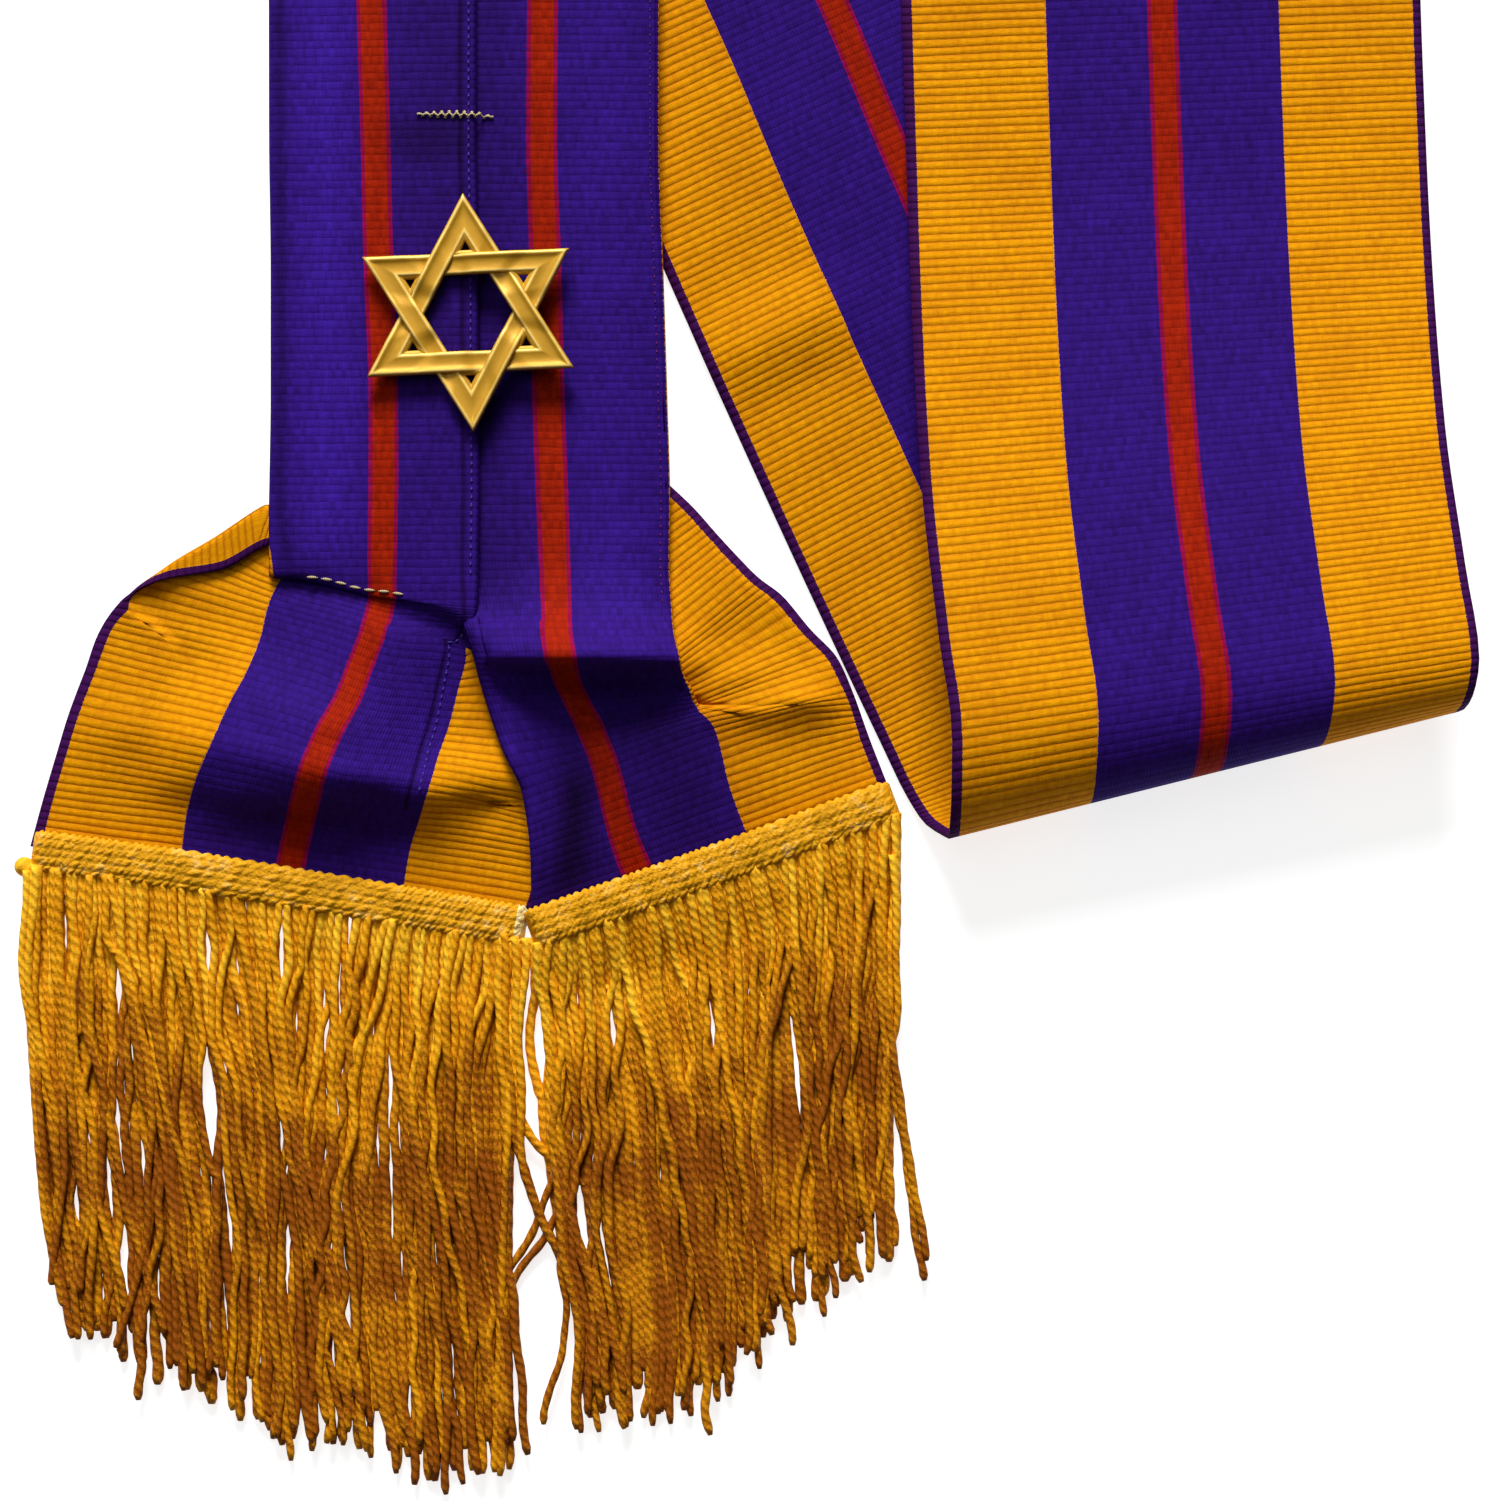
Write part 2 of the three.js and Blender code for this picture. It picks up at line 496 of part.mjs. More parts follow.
// A wall of even thickness round a grid of points, closed along its edges.
function wallGeometry(grid, thickness) {
  const rows = grid.length;
  const across = grid[0].length;
  const along = new THREE.Vector3();
  const sideways = new THREE.Vector3();
  const positions = [];
  const clamp = THREE.MathUtils.clamp;
  for (let i = 0; i < rows; i++) {
    const ring = [];
    for (let j = 0; j < across; j++) {
      sideways.copy(grid[i][clamp(j + 1, 0, across - 1)]).sub(grid[i][clamp(j - 1, 0, across - 1)]);
      along.copy(grid[clamp(i + 1, 0, rows - 1)][j]).sub(grid[clamp(i - 1, 0, rows - 1)][j]);
      const normal = sideways.clone().cross(along).normalize().multiplyScalar(thickness / 2);
      ring[j] = grid[i][j].clone().add(normal);
      ring[2 * across - 1 - j] = grid[i][j].clone().sub(normal);
    }
    ring.forEach((point) => positions.push(point.x, point.y, point.z));
  }
  const size = 2 * across;
  const index = [];
  const quad = (a, b, c, d) => index.push(a, b, c, a, c, d);
  for (let i = 0; i + 1 < rows; i++)
    for (let j = 0; j < size; j++) {
      const next = (j + 1) % size;
      quad(i * size + j, i * size + next, (i + 1) * size + next, (i + 1) * size + j);
    }
  const last = (rows - 1) * size;
  for (let j = 0; j + 1 < across; j++) {
    quad(j, size - 1 - j, size - 2 - j, j + 1);
    quad(last + j, last + j + 1, last + size - 2 - j, last + size - 1 - j);
  }
  return geometryOf(positions, index);
}

function geometryOf(positions, index) {
  const geometry = new THREE.BufferGeometry();
  geometry.setAttribute("position", new THREE.Float32BufferAttribute(positions, 3));
  geometry.setIndex(index);
  return geometry;
}

// Joining and cutting
function solidOf(geometry) {
  const bare = geometry.clone();
  bare.deleteAttribute("normal");
  bare.deleteAttribute("uv");
  const merged = mergeVertices(bare, 1e-4);
  return new wasm.Manifold(
    new wasm.Mesh({
      numProp: 3,
      vertProperties: new Float32Array(merged.attributes.position.array),
      triVerts: new Uint32Array(merged.index.array),
    }),
  );
}

function geometryFrom(solid) {
  const mesh = solid.getMesh();
  const positions = [];
  for (let i = 0; i < mesh.numVert; i++)
    positions.push(...mesh.vertProperties.slice(i * mesh.numProp, i * mesh.numProp + 3));
  return geometryOf(positions, Array.from(mesh.triVerts));
}

const join = (solids) => solids.reduce((sum, solid) => sum.add(solid));

// A closed body from rings of points with the same number of points each.
function loftGeometry(rings) {
  const size = rings[0].length;
  const positions = rings.flat().flatMap((point) => [point.x, point.y, point.z]);
  const index = [];
  for (let i = 0; i + 1 < rings.length; i++)
    for (let j = 0; j < size; j++) {
      const next = (j + 1) % size;
      const a = i * size;
      const b = a + size;
      index.push(a + j, a + next, b + next, a + j, b + next, b + j);
    }
  const last = (rings.length - 1) * size;
  for (let j = 1; j + 1 < size; j++) {
    index.push(0, j + 1, j);
    index.push(last, last + j, last + j + 1);
  }
  return geometryOf(positions, index);
}

// The woven heading of a fringe: its upper half lies on the end of the ribbon, and its lower half reaches
// down past the ribbon's cut edge.
function headingProfile(seat) {
  const side = HEADING_HEIGHT / 2;
  return [
    [-side, HEADING_FOOT],
    [-HEADING_LIP, HEADING_FOOT],
    [-HEADING_LIP, seat],
    [side, seat],
    [side, seat + HEADING_EDGE],
    [HEADING_ROUND * side, seat + HEADING_TOP],
    [-HEADING_ROUND * side, seat + HEADING_TOP],
    [-side, seat + HEADING_EDGE],
  ];
}

// A place on a heading, at a share of its length, with its direction.
function headingPlace(heading, share) {
  const scaled = THREE.MathUtils.clamp(share, 0, 1) * (heading.length - 1);
  const i = Math.min(Math.floor(scaled), heading.length - 2);
  const t = scaled - i;
  const [ax, ay, aSeat] = heading[i];
  const [bx, by, bSeat] = heading[i + 1];
  const way = new THREE.Vector3(bx - ax, by - ay, 0).normalize();
  return { x: mix(ax, bx, t), y: mix(ay, by, t), seat: mix(aSeat, bSeat, t), way };
}

function headingGeometry(heading) {
  const rings = heading.map((_, i) => {
    const place = headingPlace(heading, i / (heading.length - 1));
    const up = new THREE.Vector3(-place.way.y, place.way.x, 0);
    return headingProfile(place.seat).map(
      ([v, z]) => new THREE.Vector3(place.x + up.x * v, place.y + up.y * v, z),
    );
  });
  return loftGeometry(rings.map((ring) => ring.reverse()));
}

// One lock: a flattened bundle of cords that leaves the heading, spreads and thins out to its end.
function lockGeometry(heading, [share, midX, midY, endX, endY]) {
  const start = headingPlace(heading, share);
  const down = new THREE.Vector3(start.way.y, -start.way.x, 0);
  const root = new THREE.Vector3(start.x, start.y, 0).addScaledVector(down, HEADING_HEIGHT / 2 - LOCK_ROOT);
  const middle = new THREE.Vector3(midX, midY, 0);
  const end = new THREE.Vector3(endX, endY, 0);
  const path = new THREE.CatmullRomCurve3([
    root,
    root.clone().lerp(middle, 0.5),
    middle,
    middle.clone().lerp(end, LOCK_LATE),
    end,
  ]);
  const rings = LOCK_SECTIONS.map(({ at, width, depth }) => {
    const point = path.getPoint(at);
    const tangent = path.getTangent(at);
    const side = new THREE.Vector3(-tangent.y, tangent.x, 0);
    const high = LOCK_DEPTH * depth;
    return Array.from({ length: LOCK_SIDES }, (_, k) => {
      const angle = (k / LOCK_SIDES) * 2 * Math.PI;
      const out = (Math.cos(angle) * LOCK_WIDTH * width) / 2;
      const z = high / 2 + (Math.sin(angle) * high) / Math.sqrt(3);
      return new THREE.Vector3(point.x + side.x * out, point.y + side.y * out, z);
    });
  });
  return loftGeometry(rings);
}

function outward(geometry) {
  const solid = solidOf(geometry);
  if (solid.volume() > 0) return solid;
  geometry.setIndex(Array.from(geometry.index.array).reverse());
  return solidOf(geometry);
}

function fringeGeometry(heading, locks) {
  const parts = [headingGeometry(heading), ...locks.map((lock) => lockGeometry(heading, lock))];
  return geometryFrom(join(parts.map(outward)));
}

// A triangle pointing up or down, as an outline.
function triangleShape(radius, turn) {
  const shape = new THREE.Shape();
  for (let k = 0; k < 3; k++) {
    const angle = radians(90 + 120 * k + turn);
    const x = radius * Math.cos(angle);
    const y = radius * Math.sin(angle);
    if (k === 0) shape.moveTo(x, y);
    else shape.lineTo(x, y);
  }
  shape.closePath();
  return shape;
}

// A triangular frame between two offsets of the star's outline, from z = 0 up.
function triangleFrame(outset, inset, turn, height) {
  const shape = triangleShape(STAR_RADIUS - 2 * outset, turn);
  shape.holes.push(triangleShape(STAR_RADIUS - 2 * inset, turn));
  return outward(new THREE.ExtrudeGeometry(shape, { depth: height, bevelEnabled: false }));
}

// The lozenges where the bars of one triangle pass over those of the other.
function overBars(turn, height) {
  const middle = STAR_RADIUS / 2 - STAR_BAR / 2;
  const along = middle * Math.tan(Math.PI / 6);
  const length = STAR_BAR / Math.sin(Math.PI / 3) + STAR_BAR / Math.tan(Math.PI / 3);
  return join(
    [0, 120, 240].map((side) => {
      const box = new THREE.BoxGeometry(length, STAR_BAR, height);
      box.translate(along, -middle, height / 2);
      box.rotateZ(radians(turn + side));
      return outward(box);
    }),
  );
}

// The cast star: two triangles woven through each other, with raised rims
function starGeometry() {
  const turns = [0, 180];
  const plate = join(turns.map((turn) => triangleFrame(0, STAR_BAR, turn, STAR_PLATE)));
  const rims = turns.map((turn) => {
    const high = STAR_PLATE + STAR_RIM_HEIGHT;
    const outer = triangleFrame(0, STAR_RIM, turn, high);
    const inner = triangleFrame(STAR_BAR - STAR_RIM, STAR_BAR, turn, high);
    return outer.add(inner).subtract(overBars(turn + 180, 2 * high));
  });
  const raised = turns.map((turn) => overBars(turn, STAR_PLATE + STAR_OVER));
  return geometryFrom(join([plate, ...rims, ...raised]));
}

// Finishes
const cloth = new THREE.MeshStandardMaterial({ color: 0x321a80, roughness: 0.75, metalness: 0 });
const bullion = new THREE.MeshStandardMaterial({ color: 0xa8690a, roughness: 0.6, metalness: 0 });
const gilt = new THREE.MeshStandardMaterial({ color: 0xd4a10a, roughness: 0.35, metalness: 1 });

function named(name, geometry, material) {
  geometry.computeVertexNormals();
  const mesh = new THREE.Mesh(geometry, material);
  mesh.name = name;
  return mesh;
}

const wall = wallGeometry(ribbonRows().map(rowPoints), WALL);
const ribbon = named("ribbon", geometryFrom(outward(wall)), cloth);
const leftFringe = named("left_fringe", fringeGeometry(LEFT_HEADING, LEFT_LOCKS), bullion);
const rightFringe = named("right_fringe", fringeGeometry(RIGHT_HEADING, RIGHT_LOCKS), bullion);
const star = named("star_ornament", starGeometry(), gilt);
star.position.set(...STAR_PLACE);
star.rotation.z = radians(STAR_TURN);

// The origin is under the middle of the whole sash.
const sash = new THREE.Group();
sash.add(ribbon, leftFringe, rightFringe, star);
const bounds = new THREE.Box3().setFromObject(sash);
const middle = bounds.getCenter(new THREE.Vector3());
for (const piece of sash.children) piece.position.sub(new THREE.Vector3(middle.x, middle.y, bounds.min.z));

export default sash;
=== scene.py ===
"""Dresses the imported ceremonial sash: ribbed ribbon, corded fringes, gilt star, stitching and a plain stage.

Tables and shapes are in millimetres on the photo's plan, x to the right, y up the strip and z up from the
surface. to_part() turns them into metres in the part's frame."""

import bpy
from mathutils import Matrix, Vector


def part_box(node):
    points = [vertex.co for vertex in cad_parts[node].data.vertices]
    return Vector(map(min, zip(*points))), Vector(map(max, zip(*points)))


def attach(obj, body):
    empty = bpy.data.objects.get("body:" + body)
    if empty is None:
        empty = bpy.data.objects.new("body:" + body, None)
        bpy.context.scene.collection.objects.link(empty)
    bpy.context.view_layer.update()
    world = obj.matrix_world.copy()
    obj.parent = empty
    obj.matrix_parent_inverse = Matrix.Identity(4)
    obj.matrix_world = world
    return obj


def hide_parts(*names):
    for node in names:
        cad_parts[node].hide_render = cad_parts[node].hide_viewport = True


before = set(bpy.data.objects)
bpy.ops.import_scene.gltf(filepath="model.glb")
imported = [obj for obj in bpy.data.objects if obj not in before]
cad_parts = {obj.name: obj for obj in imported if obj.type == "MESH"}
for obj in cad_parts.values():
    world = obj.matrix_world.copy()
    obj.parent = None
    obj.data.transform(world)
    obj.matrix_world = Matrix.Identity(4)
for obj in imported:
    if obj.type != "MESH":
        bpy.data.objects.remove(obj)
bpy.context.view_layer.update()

import math

import bpy
import numpy as np
from bpy.props import FloatProperty, FloatVectorProperty, IntProperty, PointerProperty
from mathutils import Vector

bl_info = {
    "name": "Ceremonial sash",
    "version": (1, 0, 0),
    "blender": (4, 5, 0),
    "location": "View3D > Sidebar > Sash",
    "description": "Ribbed ribbon, corded fringes and a gilt star for a ceremonial sash",
    "category": "Object",
}

MM = 0.001

# Ribbon
WIDTH = 100.0
MIDDLE = WIDTH / 2
BORDER = 27.5  # gold border with its selvedge
SELVEDGE = 1.9
STRIPE_HALF = 2.5  # half the red stripe
LINE = 0.25  # half the thin line beside the red stripe
TIGHT_TURN = 0.65  # half the height between the layers of a turn
ROUND_TURN = 1.3
TURN_SPREAD = 0.8  # half length of a turn that lies open
FLAP_TURN = 26.0  # a left turn beyond this lies in the purple, and hides the border
FLAP_TURN_RIGHT = 74.0
SUNK = 0.9  # how far down the border folded under the left end lies halfway
ARC_DEGREES = (-90, -60, -30, 0, 30, 60, 90)
END_PITCH = 1.0  # from one fine row to the next
LOOP_PITCH = 5.0
LEAST_ROWS = 3  # fine rows between two rows of a table
COLUMNS = 8  # fine columns between two places of a row

# Rows across the folded ends, from the fringe up. A place is x, y, z of the middle of the cloth. A turn is
# millimetres across from the left selvedge, x, y, z and half the height between its two layers, 0 where open.
# Columns: left selvedge, left turn, left band, red stripe, right band, right turn, right selvedge.
LEFT_END = (
    ((-139.0, -18.5, 1.2), (14, -124.5, -20.9, 1.2, 0), (-110.4, -22.8, 1.2), (-89.8, -26.4, 1.4),
     (-67.6, -29.9, 1.4), (86, -55.0, -32.0, 1.2, 0), (-43.2, -34.0, 1.0)),
    ((-136.3, -8.7, 1.2), (14, -122.5, -10.4, 2.0, 0), (-108.7, -12.1, 2.5), (-87.3, -15.4, 3.2),
     (-65.7, -18.9, 2.8), (86, -52.5, -20.8, 2.0, 0), (-39.4, -22.8, 1.5)),
    ((-133.7, -0.2, 1.5), (14, -120.0, -2.5, 3.0, 0), (-106.1, -5.0, 7.0), (-85.0, -9.0, 9.0),
     (-63.5, -12.5, 5.4), (86, -50.4, -14.8, 2.6, 0), (-37.2, -17.4, 1.7)),
    ((-131.4, 7.1, 1.8), (14, -117.3, 4.4, 4.0, 0), (-102.8, 1.7, 9.5), (-82.9, -2.7, 13.0),
     (-61.7, -7.3, 6.8), (86, -48.8, -10.8, 2.4, 0), (-35.9, -14.1, 1.7)),
    ((-129.9, 11.2, 1.8), (14, -115.9, 8.3, 3.5, 0), (-101.3, 5.3, 8.8), (-81.7, 0.5, 12.5),
     (-60.9, -4.6, 6.0), (97, -37.7, -10.9, 1.8, 0), (-36.2, -12.2, 1.7)),
    ((-128.3, 15.4, 1.8), (14, -114.4, 12.1, 3.0, 0), (-99.8, 8.8, 8.0), (-80.4, 3.6, 12.0),
     (-60.1, -1.3, 5.0), (97, -37.2, -7.5, 1.7, 0.5), (-38.3, -10.0, 0.7)),
    ((-125.8, 22.4, 1.8), (14, -111.4, 18.9, 2.5, 0), (-96.6, 15.3, 6.0), (-77.1, 9.9, 9.0),
     (-58.1, 5.0, 3.8), (91, -40.5, 0.2, 1.8, 0.6), (-43.3, -8.3, 0.7)),
    ((-121.8, 28.1, 2.2), (1.5, -120.3, 27.9, 2.4, -0.1), (-94.4, 21.7, 4.0), (-74.8, 16.3, 7.0),
     (-56.5, 11.5, 3.6), (84, -45.5, 8.5, 1.9, 0.6), (-50.6, -6.8, 0.7)),
    ((-113.3, 32.7, 4.8), (3.4, -112.9, 34.6, 4.0, -0.6), (-93.0, 28.1, 3.0), (-72.4, 22.6, 6.0),
     (-54.9, 18.2, 4.0), (77, -50.1, 15.8, 2.3, 0.6), (-57.4, -6.0, 0.7)),
    ((-101.5, 34.8, 4.0), (8, -102.9, 40.8, 3.6, -0.6), (-90.4, 33.7, 2.2), (-71.3, 27.7, 4.6),
     (-56.6, 23.4, 5.0), (69.5, -53.8, 21.7, 4.2, 0.6), (-78.8, 3.5, 0.6)),
    ((-92.0, 39.5, 3.4), (11, -92.8, 47.2, 3.0, -0.6), (-86.8, 39.0, 2.0), (-70.9, 30.2, 4.7),
     (-56.6, 25.3, 6.4), (69, -53.3, 23.8, 6.4, 0.6), (-84.6, 21.3, 0.6)),
    ((-90.3, 38.7, 3.0), (27, -92.2, 39.5, 3.2, 0.2), (-88.5, 38.5, 3.3), (-70.8, 30.5, 5.0),
     (-56.4, 26.5, 7.3), (69, -52.9, 25.3, 7.2, 0.6), (-84.3, 24.7, 0.6)),
    ((-90.5, 33.3, 3.4), (27, -92.3, 33.5, 3.9, 0.2), (-88.5, 33.1, 4.0), (-70.8, 29.4, 5.4),
     (-56.1, 27.6, 7.6), (69, -52.7, 27.0, 7.4, 0.6), (-84.0, 27.0, 0.7)),
    ((-90.2, 37.9, 4.0), (27.5, -92.2, 38.1, 4.4, 0.3), (-89.1, 37.8, 4.8), (-70.8, 32.6, 5.6),
     (-55.7, 30.3, 7.6), (69, -52.5, 29.9, 7.3, 0.65), (-83.8, 30.1, 1.2)),
    ((-87.4, 44.7, 3.4), (28.5, -92.3, 44.6, 4.1, 0.7), (-89.3, 44.6, 4.9), (-70.6, 41.2, 5.8),
     (-55.5, 39.2, 7.4), (69, -52.4, 38.9, 7.0, 0.65), (-83.7, 39.1, 2.4)),
)

# The same columns with a second right turn before the right selvedge.
RIGHT_END = (
    ((-12.5, -23.9, 2.0), (31, -41.8, -34.3, 2.6, 0.65), (-39.5, -33.4, 3.2), (-20.2, -26.8, 3.0),
     (0.4, -19.3, 2.6), (80, 7.7, -16.6, 2.3, 0), (90, 17.7, -12.9, 2.1, 0), (27.4, -9.1, 1.8)),
    ((-13.1, -11.0, 3.4), (31, -41.9, -21.5, 4.6, 0.8), (-39.2, -20.5, 5.4), (-25.0, -15.4, 5.0),
     (-4.0, -7.7, 4.4), (80, 3.5, -5.0, 3.6, 0), (90, 12.5, -1.9, 2.6, 0), (23.2, 1.6, 1.5)),
    ((-14.4, 2.3, 3.4), (31, -43.4, -8.3, 5.0, 0.8), (-40.7, -7.3, 5.8), (-28.4, -2.7, 6.0),
     (-7.5, 5.0, 5.0), (80, 0.2, 6.9, 4.0, 0), (90, 10.0, 9.1, 2.8, 0), (19.7, 11.0, 1.5)),
    ((-17.7, 8.5, 3.4), (31, -47.5, 0.8, 5.2, 0.8), (-44.7, 1.5, 6.0), (-30.8, 3.6, 5.6),
     (-10.8, 8.3, 4.4), (73.5, -10.0, 8.5, 3.6, 0.3), (74.5, -10.8, 8.3, 2.6, 0.3), (16.6, 17.9, 1.6)),
    ((-20.2, 10.0, 3.2), (31, -50.4, 9.2, 5.4, 1.0), (-47.6, 9.4, 6.3), (-33.9, 10.0, 5.0),
     (-12.3, 11.5, 4.6), (73.2, -11.5, 11.7, 4.0, 0.65), (75, -13.1, 11.6, 2.6, 0.65), (11.5, 23.4, 2.4)),
    ((-21.6, 14.6, 3.0), (31, -51.8, 14.0, 6.2, 1.6), (-49.0, 14.0, 7.6), (-35.6, 14.3, 8.0),
     (-14.0, 14.8, 6.6), (73, -13.2, 14.8, 5.8, 0.65), (76, -15.4, 14.6, 3.6, 0.65), (5.9, 30.0, 3.0)),
    ((-22.7, 18.5, 2.6), (31, -52.8, 18.2, 7.0, 3.0), (-49.9, 18.1, 10.5), (-36.0, 18.0, 14.0),
     (-14.7, 18.3, 9.6), (73, -13.9, 18.3, 8.8, 0.65), (77, -17.3, 18.2, 5.2, 0.65), (1.5, 33.3, 3.2)),
    ((-23.7, 22.8, 2.0), (31, -54.2, 22.4, 6.6, 3.2), (-51.3, 22.3, 9.8), (-36.8, 22.4, 12.0),
     (-15.7, 22.5, 8.6), (73, -14.9, 22.6, 7.9, 0.65), (78.5, -19.8, 22.5, 5.0, 0.65), (-1.9, 36.7, 3.0)),
    ((-25.5, 29.2, 1.2), (31, -56.3, 28.6, 3.4, 1.8), (-53.4, 28.5, 5.4), (-37.2, 28.9, 8.0),
     (-16.3, 28.9, 6.2), (73, -15.5, 29.0, 5.5, 0.65), (80.5, -22.5, 29.1, 3.4, 0.65), (-6.4, 41.6, 2.4)),
    ((-26.5, 36.1, 0.7), (31, -57.6, 36.0, 2.7, 1.6), (-54.7, 35.9, 4.5), (-37.5, 35.9, 6.0),
     (-16.7, 35.9, 5.2), (73, -15.9, 35.9, 4.5, 0.65), (83, -26.0, 36.0, 2.6, 0.65), (-10.6, 46.4, 2.0)),
    ((-27.2, 48.3, 0.7), (31, -58.8, 48.2, 2.6, 1.9), (-55.9, 48.0, 4.5), (-38.0, 48.0, 5.0),
     (-16.5, 48.0, 4.7), (73, -15.8, 48.1, 4.04, 0.65), (87, -29.5, 48.2, 2.6, 0.65), (-19.4, 55.0, 1.9)),
    ((-28.4, 67.4, 0.8), (31, -59.2, 67.2, 2.6, 1.9), (-56.5, 67.1, 4.5), (-38.8, 67.1, 4.6),
     (-17.1, 67.1, 4.6), (73, -16.3, 67.1, 3.9, 0.65), (92.5, -35.8, 67.2, 2.6, 0.65), (-30.9, 71.2, 1.9)),
    ((-28.8, 92.9, 0.8), (31, -59.5, 92.7, 2.6, 1.9), (-56.9, 92.4, 4.5), (-39.4, 92.4, 4.6),
     (-17.9, 92.4, 4.6), (73, -17.1, 92.5, 3.9, 0.65), (98, -42.0, 92.7, 2.6, 0.65), (-40.5, 93.7, 1.9)),
)

# The sewn strip, where both borders lie folded behind. Columns: y, left fold, red stripe, right fold.
LEFT_STRIP = (
    (53.8, -92.2, -70.4, -52.3),
    (67.1, -92.0, -70.4, -52.5),
    (92.3, -92.0, -71.5, -52.5),
    (117.8, -92.3, -72.2, -52.9),
    (165.5, -92.4, -73.6, -52.9),
)
RIGHT_STRIP = (
    (118, -59.5, -40.2, -17.9),
    (165.5, -59.5, -39.8, -17.9),
    (200, -59.5, -40.0, -17.9),
)

# The panel between a strip's folds: the folds' places across the ribbon, how far in from them the flat
# starts, and the height of the middle of the cloth at each place.
PANEL_PLACES = ("edge_l", "turn_l", "band_l", "stripe", "band_r", "turn_r", "edge_r")
LEFT_PANEL = {
    "fold_l": 28.5, "fold_r": 69, "inset_l": 2.6, "inset_r": 3,
    "z": dict(zip(PANEL_PLACES, (1.85, 3.6, 4.9, 5.9, 7.0, 6.4, 3.5))),
}
RIGHT_PANEL = {
    "fold_l": 31, "fold_r": 73, "inset_l": 2.6, "inset_r": 0.8,
    "z": dict(zip(PANEL_PLACES, (1.85, 3.5, 5.0, 4.8, 4.6, 3.9, 3.2))),
}

# Above the strip the folded borders open out. Heights are those of the left band, stripe and right band.
OPEN_STEPS = 3
OPEN_SWING = 40.0  # degrees that the folded border swings as its fold runs out
OPEN_LAST = 3.6  # what is still folded where the fold runs out
OPEN_INSET = 0.12  # share of the way from a fold to the stripe where the flat starts
LEFT_OPENING = {
    "stripe": -73.5, "foot": 165.5, "top": 251, "from": (4.9, 6.4, 7.6), "to": (3.6, 6.4, 8.4), "bend": 0.7,
}
RIGHT_OPENING = {
    "stripe": -40, "foot": 200, "top": 230, "from": (4.6, 4.6, 4.6), "to": (3.2, 3.2, 3.2), "bend": 1,
}

# Rows round the loop. Columns: x and y of the red stripe, z at the left selvedge, the stripe and the right
# selvedge, and the heading of the ribs in degrees. One more column says how near the edges the turns lie.
LOOP = (
    (-73.5, 262, 3.6, 6.4, 8.4, -3, OPEN_LAST),
    (-73.0, 285, 3.0, 6.2, 6.6, -8),
    (-63.0, 330, 2.4, 3.4, 3.4, -15),
    (-38.0, 400, 1.85, 1.85, 1.85, -16.7),
    (5.0, 545, 1.85, 1.85, 1.85, -16.7),
    (48.5, 688, 2.4, 2.4, 2.4, -14),
    (54.6, 706, 2.55, 2.55, 2.55, -9),
    (56.5, 712, 1.55, 1.55, 1.55, -7.2),
    (56.5, 706, 0.65, 0.65, 0.65, -6),
    (57.5, 685, 0.5, 0.5, 0.5, 0),
    (62.0, 590, 0.5, 0.5, 0.5, 2.3),
    (74.0, 285, 0.5, 0.5, 0.5, 2.3),
    (76.0, 245, 1.85, 1.85, 1.85, 2.3),
    (77.5, 203, 1.9, 1.9, 1.9, 2.3),
    (79.1, 144.6, 2.2, 2.2, 2.2, 2.3),
    (80.0, 114, 3.5, 3.5, 3.5, 2.3),
    (80.8, 86.2, 7.0, 7.0, 7.0, 3),
    (82.1, 57, 12.5, 12.5, 12.5, 5),
    (85.0, 28.2, 18.5, 18.5, 18.5, 7.5),
    (87.2, 9.4, 21.5, 21.5, 21.5, 9),
    (86.8, 0.5, 19.0, 19.0, 19.0, 11.5),
    (86.2, -4.4, 11.0, 11.0, 11.0, 14),
    (81.6, 0.5, 3.2, 3.2, 3.2, 17),
    (76.7, 9.6, 0.8, 0.8, 0.8, 22),
    (71.0, 21.5, 0.5, 0.5, 0.5, 25),
    (27.7, 116, 0.5, 0.5, 0.5, 25.5),
    (15.5, 145, 0.5, 0.5, 0.5, 24.5),
    (-31.0, 241, 0.5, 0.5, 0.5, 20),
    (-38.2, 255.5, 0.6, 0.6, 0.6, 15),
    (-40.0, 260.5, 1.9, 1.9, 1.9, 13),
    (-40.0, 253, 3.1, 3.1, 3.1, 9),
    (-40.0, 241, 3.2, 3.2, 3.2, 4, OPEN_LAST),
)

# Distances along the left end, from its fringe up
FLAP_FOOT = 48.2
FLAP_TIP = 11  # the column of the left turn's tip
PLEAT_CREST = 72.0
PLEAT_FADE = 5.0
FAN_SHARE = 0.6  # how much of the threads' own measure holds in the fan
FAN_FROM = 40.0  # distances across between which it sets in
FAN_FULL = 62.0

# Soft swells of the cloth between the rows. Columns: x and y of the crest's middle, its direction in degrees,
# half length, half width above and below the crest, and height.
SWELLS = (
    (2.5, 12.0, -3.0, 15.0, 6.5, 5.6, 3.8),
    (-56.6, -6.6, 17.0, 12.0, 5.0, 4.4, 2.4),
    (-44.6, -4.0, -80.0, 17.0, 3.6, 3.0, 1.2),
    (-86.0, -8.4, 13.0, 24.0, 6.0, 3.8, 1.5),
    (-25.0, 16.8, -5.0, 16.0, 5.0, 6.0, 2.8),
    (5.6, 79.5, 26.0, 14.5, 6.5, 4.0, 12.5),
)
SWELL_CLEAR = 2.5  # below this height above the floor a swell shrinks

# Weave
WARP_PITCH = 0.62  # from one warp thread to the next
RAGGED = 0.0025  # how far a stripe's edge wanders, in ribbon widths
RIB_WOBBLE = 0.25  # how far a rib wanders
RIB_RELIEF = 0.16
